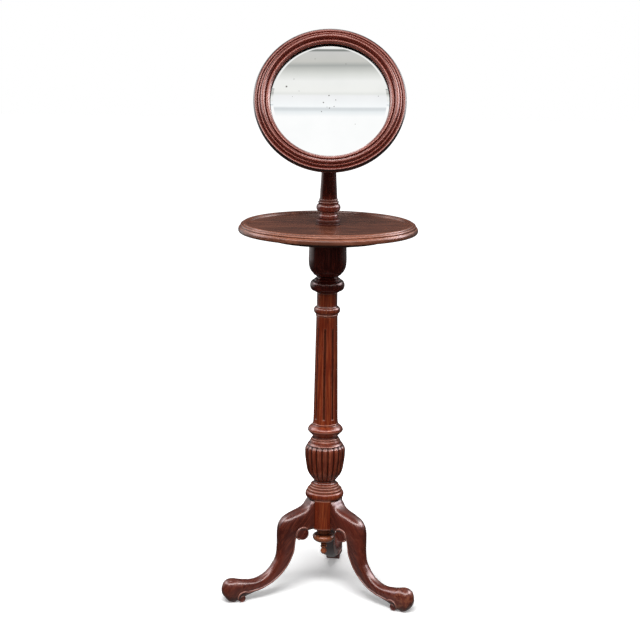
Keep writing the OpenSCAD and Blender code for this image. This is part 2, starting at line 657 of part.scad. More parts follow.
module mirror_frame() color(mahogany) in_mirror() difference() {
    rotate_extrude($fn = round_fn) translate([0, frame_n]) polygon(concat(
        frame_front,
        [[sight_r, -glass_back], [glass_r + seat_gap, -glass_back], [glass_r + seat_gap, board_front_n - frame_n],
         [board_r + seat_gap, board_front_n - frame_n], [board_r + seat_gap, frame_back_n - frame_n],
         [frame_wall_r - 1, frame_back_n - frame_n], [frame_wall_r, -14]],
        curve([[frame_wall_r + 1, -13.4], [frame_r - 3, -12.2], [frame_r - 0.6, -9], [frame_r, -4.5]])));
    board_screw_ring(true);
}

leg_left();
leg_right();
leg_back();
base_block();
drop_finial();
lobed_baluster();
fluted_shaft();
capital();
capital_screws();
table_bearer();
bearer_screws();
tabletop();
post_plinth();
mirror_post();
tilt_fork();
pivot_bolt();
leather_washers();
clamp_nut();
tilt_tongue();
tongue_screws();
backboard();
backboard_screws();
glazing_blocks();
mirror_glass();
mirror_frame();
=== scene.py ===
"""Shaving stand of French-polished mahogany: a fluted pillar on three scroll-toed legs, a dished table
and a round tilting mirror. Lengths in the modelling code are millimetres, and meshes are made in metres."""

import math
import random

import bmesh
import bpy
from mathutils import Matrix, Vector
from mathutils.bvhtree import BVHTree


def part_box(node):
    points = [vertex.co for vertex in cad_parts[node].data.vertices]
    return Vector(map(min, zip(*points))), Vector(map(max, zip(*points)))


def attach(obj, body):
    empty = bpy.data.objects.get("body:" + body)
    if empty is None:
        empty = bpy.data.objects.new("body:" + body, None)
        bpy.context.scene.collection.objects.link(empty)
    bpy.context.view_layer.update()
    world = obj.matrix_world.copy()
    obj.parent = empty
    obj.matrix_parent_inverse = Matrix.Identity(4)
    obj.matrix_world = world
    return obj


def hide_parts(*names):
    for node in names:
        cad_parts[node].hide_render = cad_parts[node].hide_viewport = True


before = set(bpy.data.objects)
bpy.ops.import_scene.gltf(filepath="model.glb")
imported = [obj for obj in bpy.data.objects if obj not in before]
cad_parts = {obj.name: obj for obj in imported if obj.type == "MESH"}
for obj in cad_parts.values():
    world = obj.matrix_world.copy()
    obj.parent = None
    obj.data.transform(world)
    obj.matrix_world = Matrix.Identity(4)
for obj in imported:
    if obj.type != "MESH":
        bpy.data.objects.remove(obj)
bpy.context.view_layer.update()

MM = 0.001

# ---- where things stand, in mm

table_low, table_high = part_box("tabletop")
PILLAR = Vector(((table_low.x + table_high.x) / 2, (table_low.y + table_high.y) / 2, 0)) / MM

BLOCK_Z, BLOCK_R, LEG_W = 174, 46, 52
COLLAR_Z = 252
BALUSTER_Z = 296
SHAFT_Z, SHAFT_H = 414, 376
CAPITAL_Z, CAPITAL_H = 790, 137
BEARER_Z, BEARER_T, BEARER_R = 927, 15.5, 157
TABLE_Z, TABLE_T, TABLE_R, DISH = 942.5, 24.8, 225, 6.5
FIELD_Z = TABLE_Z + TABLE_T - DISH
PLINTH_R, PLINTH_T = 29.5, 6
POST_Z = FIELD_Z + PLINTH_T
POST_H = 262.5
PIVOT_RISE = 24
PIVOT_Z = POST_Z + POST_H + PIVOT_RISE
TILT = 27
FRAME_R, FRAME_N, SIGHT_R = 187.1, 50, 146.8
GLASS_R, GLASS_T = 151.8, 4
BOARD_FRONT, BOARD_T = 38, 6.5
BOARD_BACK = BOARD_FRONT - BOARD_T
BOARD_R = GLASS_R + 14
PLATE_R, PLATE_T = 30, 4
TOE_R = 252
FLAT_D = math.sqrt(BLOCK_R**2 - (LEG_W / 2) ** 2)
LEG_TURN = -6.75
LEG_ANGLES = {"leg_left": -150 + LEG_TURN, "leg_right": -30 + LEG_TURN, "leg_back": 90 + LEG_TURN}


def at_height(z):
    """The pillar's axis at height z."""
    return Matrix.Translation(Vector((PILLAR.x, PILLAR.y, z)) * MM)


# +Z forward out of the tilted glass, +Y up the glass, 0 on the tilt axis
MIRROR_SPACE = at_height(PIVOT_Z) @ Matrix.Rotation(math.radians(90 - TILT), 4, "X")

# ---- outlines, as (radius, height)


def around(count):
    """Angles spaced evenly round a full turn."""
    return [2 * math.pi * i / count for i in range(count)]


def clamp(value):
    return min(1.0, max(0.0, value))


def bead(r, z0, z1, out, steps=14):
    """A half round that stands out from radius r."""
    middle, half = (z0 + z1) / 2, (z1 - z0) / 2
    turns = [math.pi * (i / steps - 0.5) for i in range(steps + 1)]
    return [(r + out * math.cos(a), middle + half * math.sin(a)) for a in turns]


def cove(r0, z0, r1, z1, steps=10):
    """A hollow quarter round from one point to the other."""
    turns = [math.pi / 2 * i / steps for i in range(steps + 1)]
    return [(r0 + (r1 - r0) * math.sin(a), z0 + (z1 - z0) * (1 - math.cos(a))) for a in turns]


def spline_at(a, b, c, d, t):
    return tuple(
        0.5 * (2 * q + (r - p) * t + (2 * p - 5 * q + 4 * r - s) * t * t + (3 * q - p - 3 * r + s) * t**3)
        for p, q, r, s in zip(a, b, c, d)
    )


def curve(points, steps=6):
    """A smooth line through every point."""
    last = len(points) - 1
    line = []
    for i in range(last):
        four = [points[max(i - 1, 0)], points[i], points[i + 1], points[min(i + 2, last)]]
        line += [spline_at(*four, k / steps) for k in range(steps)]
    return line + [tuple(points[-1])]


def join(*parts):
    """Parts of an outline end to end, without doubled points."""
    line = []
    for part in parts:
        for p in part:
            if not line or math.dist(line[-1], p) > 0.02:
                line.append(tuple(p))
    return line


def soften(line, radius=0.5, sharp=28):
    """The line with its sharp proud corners worn round, as sanding and polish leave them."""
    out = [line[0]]
    for before, here, after in zip(line, line[1:], line[2:]):
        u = Vector(before) - Vector(here)
        v = Vector(after) - Vector(here)
        turn = 180 - math.degrees(u.angle(v))
        if turn < sharp or u.y * v.x - u.x * v.y < 0:
            out.append(here)
            continue
        reach = min(radius, 0.45 * u.length, 0.45 * v.length)
        start, end = Vector(here) + u.normalized() * reach, Vector(here) + v.normalized() * reach
        for t in (0, 0.33, 0.67, 1):
            out.append(tuple(start * (1 - t) ** 2 + Vector(here) * 2 * t * (1 - t) + end * t * t))
    return out + [line[-1]]


def spread(line, reach=3.0):
    """The line with points added near the ends of its long runs, so that the shade and highlight painted at a corner
    stay at the corner.
    """
    out = [line[0]]
    for a, b in zip(line, line[1:]):
        length = math.dist(a, b)
        if length > 3 * reach:
            for share in (reach / length, 1 - reach / length):
                out.append((a[0] + (b[0] - a[0]) * share, a[1] + (b[1] - a[1]) * share))
        out.append(b)
    return out


# ---- mesh building


def finish_mesh(name, bm, matrix, material, body, replaces, sharp=40, second=()):
    """A mesh object from bm, placed by matrix, shaded smooth, and riding on a body.
    The place attribute keeps where each vertex was before the turn, so that grain follows the piece."""
    bmesh.ops.recalc_face_normals(bm, faces=bm.faces)
    place = bm.verts.layers.float_vector.new("place")
    for v in bm.verts:
        v[place] = v.co
    bm.transform(matrix.to_3x3().to_4x4())
    mesh = bpy.data.meshes.new(name)
    bm.to_mesh(mesh)
    bm.free()
    mesh.shade_smooth()
    mesh.set_sharp_from_angle(angle=math.radians(sharp))
    piece = bpy.data.objects.new(name, mesh)
    bpy.context.scene.collection.objects.link(piece)
    piece.matrix_world = Matrix.Translation(matrix.translation)
    mesh.materials.append(material)
    for other in second:
        mesh.materials.append(other)
    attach(piece, body)
    if replaces:
        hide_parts(*replaces)
    return piece


def crease_of(line):
    """How far each point of an outline stands proud (+1) or lies in a groove (-1)."""
    values = [0.0] * len(line)
    for i in range(1, len(line) - 1):
        a, b, c = Vector(line[i - 1]), Vector(line[i]), Vector(line[i + 1])
        u, v = b - a, c - b
        bend = u.x * v.y - u.y * v.x
        values[i] = max(-1.0, min(1.0, bend / (u.length * v.length + 1e-9) * 2.2 / (u.length + v.length)))
    smooth = []
    for i in range(len(line)):
        near = [(values[k], math.exp(-((math.dist(line[k], line[i]) / 1.4) ** 2))) for k in range(len(line))]
        smooth.append(sum(v * w for v, w in near) / max(1e-9, sum(w for _, w in near)))
    return smooth


# Sides of a turned piece, and of a wide one
SIDES, WIDE_SIDES = 144, 240


def lathe(
    name, outline, matrix, material, body, replaces=(), radius_at=None, turns=None, soft=0.5, closed=False, sharp=40,
    dark=None, second=(),
):
    """Revolves an outline round local Z. radius_at(radius, height, angle) may carve it.
    The UV map unrolls the surface in metres: along U round the piece and along V down the outline.
    The crease attribute marks grooves and crests. Where dark(radius, height) is 1 or 2, the first or the
    second material of second shows."""
    line = spread(soften(outline, soft)) if soft else outline
    turns = turns or around(SIDES)
    # The crease mark paints shade into the grooves and a highlight onto the crests.
    crease = crease_of(line)
    bm = bmesh.new()
    mark = bm.verts.layers.float.new("crease")
    uv = bm.loops.layers.uv.new("unrolled")
    rings, along = [], [0.0]
    for i, (r, z) in enumerate(line):
        if i:
            along.append(along[-1] + math.dist(line[i], line[i - 1]))
        ring = []
        for a in turns:
            carved, extra = radius_at(r, z, a) if radius_at else (r, 0.0)
            v = bm.verts.new(Vector((carved * math.cos(a), carved * math.sin(a), z)) * MM)
            v[mark] = crease[i] + extra
            ring.append(v)
        rings.append(ring)
    count = len(turns)
    widest = max(r for r, _ in line)
    ends = turns + [turns[0] + 2 * math.pi]

    def quad(low, high, v_low, v_high, index=0):
        for k in range(count):
            n = (k + 1) % count
            face = bm.faces.new((low[k], low[n], high[n], high[k]))
            face.material_index = index
            places = ((ends[k], v_low), (ends[k + 1], v_low), (ends[k + 1], v_high), (ends[k], v_high))
            for loop, (a, v) in zip(face.loops, places):
                loop[uv].uv = (a * widest * MM, v * MM)

    for j in range(len(rings) - 1):
        index = min(dark(*line[j]), dark(*line[j + 1])) if dark else 0
        quad(rings[j], rings[j + 1], along[j], along[j + 1], index)
    if closed:
        quad(rings[-1], rings[0], along[-1], along[-1] + math.dist(line[-1], line[0]))
    else:
        for ring, r in ((rings[0], line[0][0]), (rings[-1], line[-1][0])):
            if r > 0.01:
                bm.faces.new(ring)
            else:
                bmesh.ops.pointmerge(bm, verts=ring, merge_co=ring[0].co)
    return finish_mesh(name, bm, matrix, material, body, replaces, sharp, second)


def turned(node, outline, z, wood, **more):
    """The dressed piece of a turned part of the stand, its outline starting at height z."""
    return lathe(node + "_wood", outline, at_height(z), wood, "stand", [node], **more)


def loft(bm, rings):
    """Skins rings of points, given in metres, and closes both ends. Returns the vertices, ring by ring."""
    made = [[bm.verts.new(p) for p in ring] for ring in rings]
    count = len(rings[0])
    for low, high in zip(made, made[1:]):
        for k in range(count):
            n = (k + 1) % count
            bm.faces.new((low[k], low[n], high[n], high[k]))
    bm.faces.new(list(reversed(made[0])))
    bm.faces.new(made[-1])
    return made


def tube(bm, path, radii, sides):
    """A round bar along a path of points in mm, with a radius at each point."""
    rings = []
    across = Vector((0, 1, 0))
    for i, p in enumerate(path):
        ahead = (path[min(i + 1, len(path) - 1)] - path[max(i - 1, 0)]).normalized()
        up = ahead.cross(across).normalized()
        rings.append([(p + radii[i] * (up * math.cos(a) + across * math.sin(a))) * MM for a in around(sides)])
    return loft(bm, rings)


# ---- materials


def srgb(code):
    """Linear colour of an sRGB hex code."""
    parts = [int(code[i : i + 2], 16) / 255 for i in (1, 3, 5)]
    return tuple(c / 12.92 if c <= 0.04045 else ((c + 0.055) / 1.055) ** 2.4 for c in parts) + (1.0,)


def put(tree, socket, value):
    """Links a socket to the value, or sets it."""
    if isinstance(value, bpy.types.NodeSocket):
        tree.links.new(value, socket)
    else:
        socket.default_value = value


def add_node(tree, kind, inputs=None, **settings):
    """Adds a node to a tree, with its settings and inputs."""
    node = tree.nodes.new(kind)
    for key, value in settings.items():
        setattr(node, key, value)
    for key, value in (inputs or {}).items():
        put(tree, node.inputs[key], value)
    return node


class Nodes:
    """A material's node tree."""

    def __init__(self, name, slot):
        self.material = bpy.data.materials.new(name)
        self.material.use_nodes = True
        self.material["slot"] = slot
        self.tree = self.material.node_tree
        self.tree.nodes.clear()
        self.shader = self.add("ShaderNodeBsdfPrincipled")
        output = self.add("ShaderNodeOutputMaterial")
        self.tree.links.new(self.shader.outputs[0], output.inputs[0])

    def add(self, kind, inputs=None, **settings):
        return add_node(self.tree, kind, inputs, **settings)

    def set(self, **inputs):
        for key, value in inputs.items():
            put(self.tree, self.shader.inputs[key.replace("_", " ")], value)

    def math(self, operation, a, b=0.0, c=0.0):
        return self.add("ShaderNodeMath", {0: a, 1: b, 2: c}, operation=operation).outputs[0]

    def times(self, a, b):
        return self.math("MULTIPLY", a, b)

    def plus(self, a, b):
        return self.math("ADD", a, b)

    def vector(self, operation, a, b):
        outputs = self.add("ShaderNodeVectorMath", {0: a, 1: b}, operation=operation).outputs
        return outputs["Value" if operation == "DISTANCE" else "Vector"]

    def own_place(self):
        return self.add("ShaderNodeTexCoord").outputs["Object"]

    def attribute(self, name, output="Fac"):
        return self.add("ShaderNodeAttribute", attribute_name=name).outputs[output]

    def mix(self, factor, a, b):
        node = self.add("ShaderNodeMix", data_type="RGBA")
        for index, value in ((0, factor), (6, a), (7, b)):
            put(self.tree, node.inputs[index], value)
        return node.outputs[2]

    def noise(self, place, scale, detail, rough):
        """Noise, scaled along each axis on its own."""
        inputs = {"Vector": self.scaled(place, scale), "Scale": 1.0, "Detail": detail, "Roughness": rough}
        return self.add("ShaderNodeTexNoise", inputs).outputs["Fac"]

    def steps(self, value, low, high, out_low=0.0, out_high=1.0):
        """Maps value from low..high to out_low..out_high, smoothly and clamped."""
        inputs = {"Value": value, "From Min": low, "From Max": high, "To Min": out_low, "To Max": out_high}
        return self.add("ShaderNodeMapRange", inputs, interpolation_type="SMOOTHSTEP").outputs[0]

    def scaled(self, place, scale, turn=(0, 0, 0)):
        inputs = {"Vector": place, "Scale": scale, "Rotation": turn}
        return self.add("ShaderNodeMapping", inputs, vector_type="POINT").outputs[0]

    def bump(self, height, strength, distance):
        inputs = {"Height": height, "Strength": strength, "Distance": distance}
        self.set(Normal=self.add("ShaderNodeBump", inputs).outputs[0])


# The groove share sets how dark the painted shade in the grooves is, and the crest colour is a painted highlight with
# polish worn thin.
def polished_mahogany(
    name, light, mid, dark, turn=(0, 0, 0), unrolled=False, slot="mahogany", seed=0.0, gloss=0.24, groove=0.8,
    coat=0.12, shine=0.5, figure=1.0, grain=300, amber="#ffe2da", crest_highlight_and_wear_colour=None,
):
    """French-polished mahogany. The grain runs along local Z after the turn, or along U where unrolled."""
    n = Nodes(name, slot)
    if unrolled:
        flat = n.add("ShaderNodeUVMap", uv_map="unrolled").outputs[0]
        place = n.scaled(flat, (1, 1, 1), (0, math.pi / 2, 0))
    else:
        place = n.scaled(n.attribute("place", "Vector"), (1, 1, 1), turn)
    shifted = n.vector("ADD", place, (seed, seed * 1.7, seed * 0.6))
    # Broad clouds of colour, drawn out along the grain
    cloud = n.noise(shifted, (16, 16, 3.2), 3.0, 0.6)
    # Growth rings: planes that wander, about 18 mm apart, or 15 mm where unrolled
    wander = n.noise(shifted, (9, 9, 1.6), 2.0, 0.5)
    apart = n.add("ShaderNodeSeparateXYZ", {0: shifted})
    ring_at = n.plus(
        n.times(apart.outputs[0], 330.0),
        n.times(wander, 3.0 if unrolled else 16.0),
    )
    ring_at = n.plus(ring_at, n.times(apart.outputs[1], 420.0 if unrolled else 110.0))
    rings = n.plus(n.times(n.math("SINE", ring_at), 0.5), 0.5)
    # Streaks and open pores. Real ones are 0.2 mm wide: these are as coarse as the render can show
    streak = n.noise(shifted, (grain, grain, 12), 2.0, 0.6)
    pores = n.steps(n.noise(shifted, (2.2 * grain, 2.2 * grain, 50), 1.0, 0.5), 0.62, 0.72)
    wood = n.mix(n.steps(cloud, 0.3, 0.72), srgb(dark), srgb(mid))
    wood = n.mix(n.times(n.steps(streak, 0.42, 0.7), 0.55 * figure), wood, srgb(light))
    wood = n.mix(n.times(n.math("POWER", rings, 3.0), 0.3), wood, srgb(dark))
    wood = n.mix(n.times(pores, 0.45 * figure), wood, srgb("#1d0806"))
    # Grooves are painted darker, as shade and old polish, and crests paler, as a painted highlight and polish worn thin
    crease = n.attribute("crease")
    patchiness = n.noise(shifted, (30, 30, 14), 2.0, 0.6)
    groove_shade_and_polish = n.times(
        n.steps(n.times(crease, -1.0), 0.02, 0.3),
        n.steps(patchiness, 0.1, 0.5, 0.85, 1.0),
    )
    wood = n.mix(n.times(groove_shade_and_polish, groove), wood, srgb("#1c0706"))
    crest_highlight_and_wear = n.times(n.steps(crease, 0.04, 0.4), n.steps(patchiness, 0.35, 0.7, 0.6, 1.0))
    wood = n.mix(n.times(crest_highlight_and_wear, 0.7 if crest_highlight_and_wear_colour else 0.3), wood, srgb(crest_highlight_and_wear_colour or light))
    # Toes knocked through the polish to paler wood
    worn = n.noise(shifted, (110, 110, 110), 4.0, 0.7)
    knocks = n.times(n.steps(worn, 0.47, 0.62), n.attribute("wear"))
    wood = n.mix(n.times(knocks, 0.5), wood, srgb("#a9674a"))
    n.set(Base_Color=wood)
    dull = n.noise(shifted, (30, 30, 18), 3.0, 0.6)
    rough = n.plus(n.steps(dull, 0.3, 0.75, gloss - 0.02, gloss + 0.05), n.times(groove_shade_and_polish, 0.05))
    # Shellac is amber: what shines back through it is warm, and only grazing light stays white
    n.set(Roughness=rough, Coat_Weight=coat, Coat_Roughness=0.14, Coat_IOR=1.5)
    n.set(Specular_IOR_Level=shine, Specular_Tint=srgb(amber))
    height = n.math("SUBTRACT", n.times(dull, 0.5), n.times(pores, 0.5))
    n.bump(height, 0.08 * figure, 0.0004)
    return n.material


def aged_pine(name):
    """Unpolished softwood, browned with age, its grain along local X."""
    n = Nodes(name, "pine")
    place = n.own_place()
    wander = n.noise(place, (2.2, 9, 9), 2.0, 0.5)
    across = n.add("ShaderNodeSeparateXYZ", {0: place}).outputs[1]
    lines = n.math("SINE", n.plus(n.times(across, 700.0), n.times(wander, 34.0)))
    late = n.steps(lines, 0.1, 0.95)
    streak = n.noise(place, (25, 600, 600), 3.0, 0.6)
    stain = n.noise(place, (11, 14, 14), 4.0, 0.62)
    wood = n.mix(n.times(late, 0.6), srgb("#8a6641"), srgb("#5a3a20"))
    wood = n.mix(n.times(streak, 0.35), wood, srgb("#a68258"))
    wood = n.mix(n.steps(stain, 0.45, 0.75, 0.0, 0.65), wood, srgb("#33200f"))
    n.set(Base_Color=wood, Roughness=n.steps(streak, 0.2, 0.8, 0.62, 0.8), Specular_IOR_Level=0.3)
    n.bump(n.plus(n.times(late, 0.5), streak), 0.35, 0.0004)
    return n.material


def aged_brass(name):
    """Lacquer-worn brass, browner in its hollows, with fine handling scratches."""
    n = Nodes(name, "brass")
    place = n.own_place()
    cloud = n.noise(place, (90, 90, 90), 4.0, 0.62)
    fine = n.noise(place, (1400, 180, 1400), 2.0, 0.6)
    spots = n.steps(n.noise(place, (420, 420, 420), 2.0, 0.7), 0.6, 0.74)
    metal = n.mix(n.steps(cloud, 0.3, 0.7), srgb("#c39a52"), srgb("#8b6a34"))
    metal = n.mix(n.times(spots, 0.6), metal, srgb("#4f3a1d"))
    rough = n.plus(n.steps(cloud, 0.3, 0.75, 0.2, 0.38), n.times(fine, 0.05))
    n.set(Base_Color=metal, Metallic=1.0, Roughness=rough)
    n.bump(n.plus(fine, spots), 0.12, 0.0002)
    return n.material


def oiled_leather(name):
    """Dark oiled leather with a fine pebbled grain."""
    n = Nodes(name, "leather")
    place = n.own_place()
    cells = n.add("ShaderNodeTexVoronoi", {"Vector": place, "Scale": 1600.0}).outputs["Distance"]
    cloud = n.noise(place, (300, 300, 300), 3.0, 0.6)
    n.set(Base_Color=n.mix(cloud, srgb("#2a170c"), srgb("#4c2d18")), Roughness=n.steps(cloud, 0.2, 0.8, 0.5, 0.7))
    n.bump(cells, 0.5, 0.0002)
    return n.material


# Marks in the silvering, as (x, y, radius) in mm on the glass
FOXING = [
    (-106.7, 34.1, 2.3), (-88.7, 54.1, 1.1), (-76, 22.7, 0.9), (-20.3, -30.3, 1.3), (-92, 8, 0.7),
    (-16, -6.7, 1.7), (-2.6, 11.9, 1.6), (14.2, 0.3, 1.3), (10, -16.8, 1.3), (-1, -20.9, 1.5),
    (-7, -18.5, 1.0), (62, -62, 0.8), (118, 12, 1.0), (38, 96, 0.9), (-38, 108, 0.8),
]


def old_mirror(name):
    """Silvered plate glass, its silvering spotted, dusty and faintly clouded."""
    n = Nodes(name, "mirror")
    place = n.attribute("place", "Vector")
    flat = n.vector("MULTIPLY", place, (1, 1, 0))
    ragged = n.noise(place, (900, 900, 900), 3.0, 0.7)
    spots = 0.0
    for x, y, r in FOXING:
        away = n.vector("DISTANCE", flat, (x * MM, y * MM, 0))
        away = n.plus(away, n.times(n.math("SUBTRACT", ragged, 0.5), 0.003))
        spots = n.math("MAXIMUM", spots, n.steps(away, r * MM * 0.75, r * MM * 1.25, 1.0, 0.0))
    dust = n.steps(n.noise(place, (520, 520, 520), 2.0, 0.75), 0.7, 0.78)
    cloud = n.noise(place, (14, 14, 14), 4.0, 0.6)
    silver = n.mix(n.steps(cloud, 0.35, 0.75, 0.0, 0.5), srgb("#fdfefe"), srgb("#f6f8f8"))
    silver = n.mix(n.times(dust, 0.12), silver, srgb("#c4c4bc"))
    silver = n.mix(n.times(spots, 0.9), silver, srgb("#6d6864"))
    n.set(Base_Color=silver, Metallic=1.0, Roughness=0.0)
    n.bump(n.noise(place, (5, 5, 5), 1.0, 0.5), 0.06, 0.002)
    return n.material


# The crest colours given to these woods are painted highlights, with the polish also worn thin there.
PILLAR_WOOD = polished_mahogany(
    "mahogany_pillar", "#a4552f", "#7e2d15", "#561a0c", seed=0.31, shine=0.7, crest_highlight_and_wear_colour="#a3705f"
)
# Paler and more orange than the pillar: paler, drier wood, and painted light on the bun.
FINIAL_WOOD = polished_mahogany("mahogany_finial", "#c07a55", "#a05434", "#7a3a22", seed=0.9)
BALUSTER_WOOD = polished_mahogany(
    "mahogany_baluster", "#a4573a", "#742d19", "#521a0e", seed=0.42, shine=0.8, crest_highlight_and_wear_colour="#a06a58"
)
# Darker than the pillar's wood, as painted shade under the table.
CAPITAL_WOOD = polished_mahogany("mahogany_capital", "#843426", "#5e1b12", "#42120c", seed=0.77)
POST_WOOD = polished_mahogany("mahogany_post", "#7a3826", "#581a10", "#3e110b", seed=0.55, crest_highlight_and_wear_colour="#85574b")
LEG_WOOD = polished_mahogany(
    "mahogany_legs", "#8e4732", "#68281a", "#45170f", turn=(0, math.radians(35), 0), seed=1.17, gloss=0.28, shine=0.9,
    figure=0.9, amber="#fff0ee", crest_highlight_and_wear_colour="#b98072",
)
TABLE_WOOD = polished_mahogany(
    "mahogany_table", "#8c5641", "#6b3d2d", "#4d2a1f", turn=(0, math.pi / 2, 0), slot="mahogany_table", seed=2.4,
    gloss=0.24, coat=0.0, shine=0.5, grain=90, crest_highlight_and_wear_colour="#a8694e",
)
# Near-black bearer wood: dark-stained, and dark also as painted shade under the table and at the foot of the post.
BEARER_WOOD = polished_mahogany(
    "mahogany_bearer", "#4c1f14", "#34120c", "#200a06", turn=(0, math.pi / 2, 0), seed=3.3, gloss=0.42, coat=0.0,
    shine=0.3,
)
FRAME_WOOD = polished_mahogany(
    "mahogany_frame", "#7a3324", "#541b12", "#3a0f09", unrolled=True, seed=4.1, shine=0.9, groove=0.65, figure=0.15,
    grain=200, amber="#ffd2c8", crest_highlight_and_wear_colour="#7c3f33",
)
# Near-black edge and back of the frame: ebonised, and dark also as painted shade on the frame's underside.
EDGE_WOOD = polished_mahogany(
    "mahogany_edge", "#241210", "#190b0a", "#100706", unrolled=True, seed=5.2, gloss=0.32, shine=0.7, figure=0.15,
    amber="#ffffff",
)
# Near-black, dull wall round the glass: a blackened rebate, and painted shade under the lip.
SIGHT_WOOD = polished_mahogany(
    "mahogany_sight", "#2a1411", "#1c0c0a", "#120706", unrolled=True, seed=5.9, gloss=0.7, coat=0.0, shine=0.05,
    figure=0.15,
)
BRASS = aged_brass("aged_brass")
LEATHER = oiled_leather("oiled_leather")
PINE = aged_pine("aged_pine")
MIRROR = old_mirror("old_mirror")

# ---- base block and finial

COLLAR_R = 49.3
LOW_NECK_R = 27


def block_radius(r, z, a):
    """The block, flattened where the three legs stand against it."""
    if z > COLLAR_Z - 0.01 or r < BLOCK_R - 3:
        return r, 0.0
    for turn in LEG_ANGLES.values():
        off = math.remainder(a - math.radians(turn), 2 * math.pi)
        if abs(off) < math.pi / 3:
            r = min(r, FLAT_D / math.cos(off) - 0.15)
    return r, 0.0


collar = join(
    bead(COLLAR_R - 5.5, 0.5, 18.5, 5.5),
    bead(COLLAR_R - 7.5, 18.8, 25, 2.8),
    bead(COLLAR_R - 13, 25.5, 31, 2.6),
    bead(COLLAR_R - 15.8, 31.5, 37, 2.4),
    cove(COLLAR_R - 16.5, 37.5, LOW_NECK_R, 44),
)
block_outline = join(
    [(0, BLOCK_Z), (BLOCK_R - 1.2, BLOCK_Z), (BLOCK_R, BLOCK_Z + 1.2), (BLOCK_R, COLLAR_Z - 0.2)],
    [(r, z + COLLAR_Z) for r, z in collar],
    [(0, COLLAR_Z + 44)],
)
turned("base_block", block_outline, 0, PILLAR_WOOD, radius_at=block_radius)

FINIAL_R, FINIAL_LEN = 29.5, 78
finial_outline = join(
    curve([(0, 0), (3.5, 0.6), (5.8, 2), (8.3, 8), (6.8, 14), (5.6, 17.5)]),
    bead(5.6, 18.5, 23.5, 3.2),
    bead(5.6, 24.5, 29, 2.6),
    curve([(6.5, 30), (9, 32.5), (FINIAL_R - 14, 34.5)]),
    curve([(FINIAL_R - 13, 35), (FINIAL_R - 6.5, 37.8), (FINIAL_R - 1.8, 43), (FINIAL_R, 49.5)]),
    curve([(FINIAL_R - 0.4, 50.5), (FINIAL_R - 4, 54.5), (FINIAL_R - 11, 57)]),
    [(FINIAL_R - 11, FINIAL_LEN), (0, FINIAL_LEN)],
)
turned("drop_finial", finial_outline, BLOCK_Z - FINIAL_LEN, FINIAL_WOOD)

# ---- lobed baluster

BALUSTER_R, LOBES, LOBE_TOP, LOBE_LOW = 51.5, 20, 95.5, 2.5
lobe_crest = curve(
    [(28, 0.5), (29.6, 4), (32.6, 8), (40.7, 18.6), (43.5, 24), (46.7, 35)]
    + [(50.7, 62), (51.5, 78), (51.1, 87), (48.6, 94), (45.2, 98.5)]
)
lobe_ground = curve(
    [(27.6, 0.5), (28.2, 4), (30, 8), (36.8, 18.6), (39.5, 24), (42.7, 35)]
    + [(46.7, 62), (47.5, 78), (47.3, 87), (46.2, 94), (45, 98.5)]
)


def radius_on(line, z):
    for (r0, z0), (r1, z1) in zip(line, line[1:]):
        if z0 <= z <= z1:
            return r0 + (r1 - r0) * (z - z0) / max(1e-6, z1 - z0)
    return line[0][0] if z < line[0][1] else line[-1][0]


def lobe_radius(r, z, a):
    """Twenty round-ended lobes, cut side by side, over a turned core."""
    if z > 98.4 or z < 0.6:
        return r, 0.0
    share = (a / (2 * math.pi) * LOBES + 0.5) % 1.0 * 2 - 1
    ground = radius_on(lobe_ground, z)
    rise = radius_on(lobe_crest, z) - ground
    past = max(0.0, (z - (LOBE_TOP - 7)) / 7, ((LOBE_LOW + 5) - z) / 5)
    fill = 1 - share * share - past * past
    lift = math.sqrt(fill) if fill > 0 else 0.0
    # The second value is the crease mark: a painted highlight on each lobe's crown and painted shade in the gaps
    # between lobes.
    return ground + rise * lift, 0.12 * lift - 0.9 * max(0.0, 1 - lift / 0.85)


heights = [0.5 + 98 * i / 70 for i in range(71)]
baluster_outline = join(
    [(0, 0), (LOW_NECK_R, 0)],
    [(radius_on(lobe_crest, z), z) for z in heights],
    curve([(44.9, 98.6), (43.6, 100.4), (42.4, 101.6)]),
    curve([(40.6, 102.4), (39.4, 106.5), (37.6, 110.4)]),
    bead(BALUSTER_R - 18.3, 111, 115.5, 2.6),
    [(28.4, 116.2), (28.3, 118), (0, 118)],
)
turned(
    "lobed_baluster", baluster_outline, BALUSTER_Z, BALUSTER_WOOD,
    radius_at=lobe_radius, turns=around(LOBES * 14), soft=0.4, sharp=60,
)

# ---- fluted shaft

SHAFT_LOW_R, SHAFT_TOP_R, LOW_RING_R, TOP_RING_R, TOP_NECK_R = 30.9, 27, 45.2, 33.5, 25.9
FLUTES, FLUTE_TURN, GOUGE_R, FLUTE_OUT = 8, -99, 3.6, 1.4
FLUTE_LOW, FLUTE_TOP = 47, SHAFT_H - 90
FLUTE_STEPS = [-3.5, -3.3, -3.0, -2.5, -1.8, -0.9, 0, 0.9, 1.8, 2.5, 3.0, 3.3, 3.5]


def flute_radius(r, z, a):
    """Eight round-bottomed, round-ended flutes up the shaft."""
    if z < FLUTE_LOW - 0.5 or z > FLUTE_TOP + 0.5:
        return r, 0.0
    pitch = 2 * math.pi / FLUTES
    off = math.remainder(a - math.radians(FLUTE_TURN), pitch) * r
    past = max(0.0, FLUTE_LOW + GOUGE_R - z, z - (FLUTE_TOP - GOUGE_R))
    inside = GOUGE_R**2 - off * off - past * past
    depth = math.sqrt(inside) - FLUTE_OUT if inside > FLUTE_OUT**2 else 0.0
    # The second value is the crease mark: painted shade down each flute and a painted highlight along its edges.
    return r - depth, -0.26 * min(1.0, depth / 1.4) + (0.2 if 0 < abs(abs(off) - 3.32) < 0.5 else 0.0)


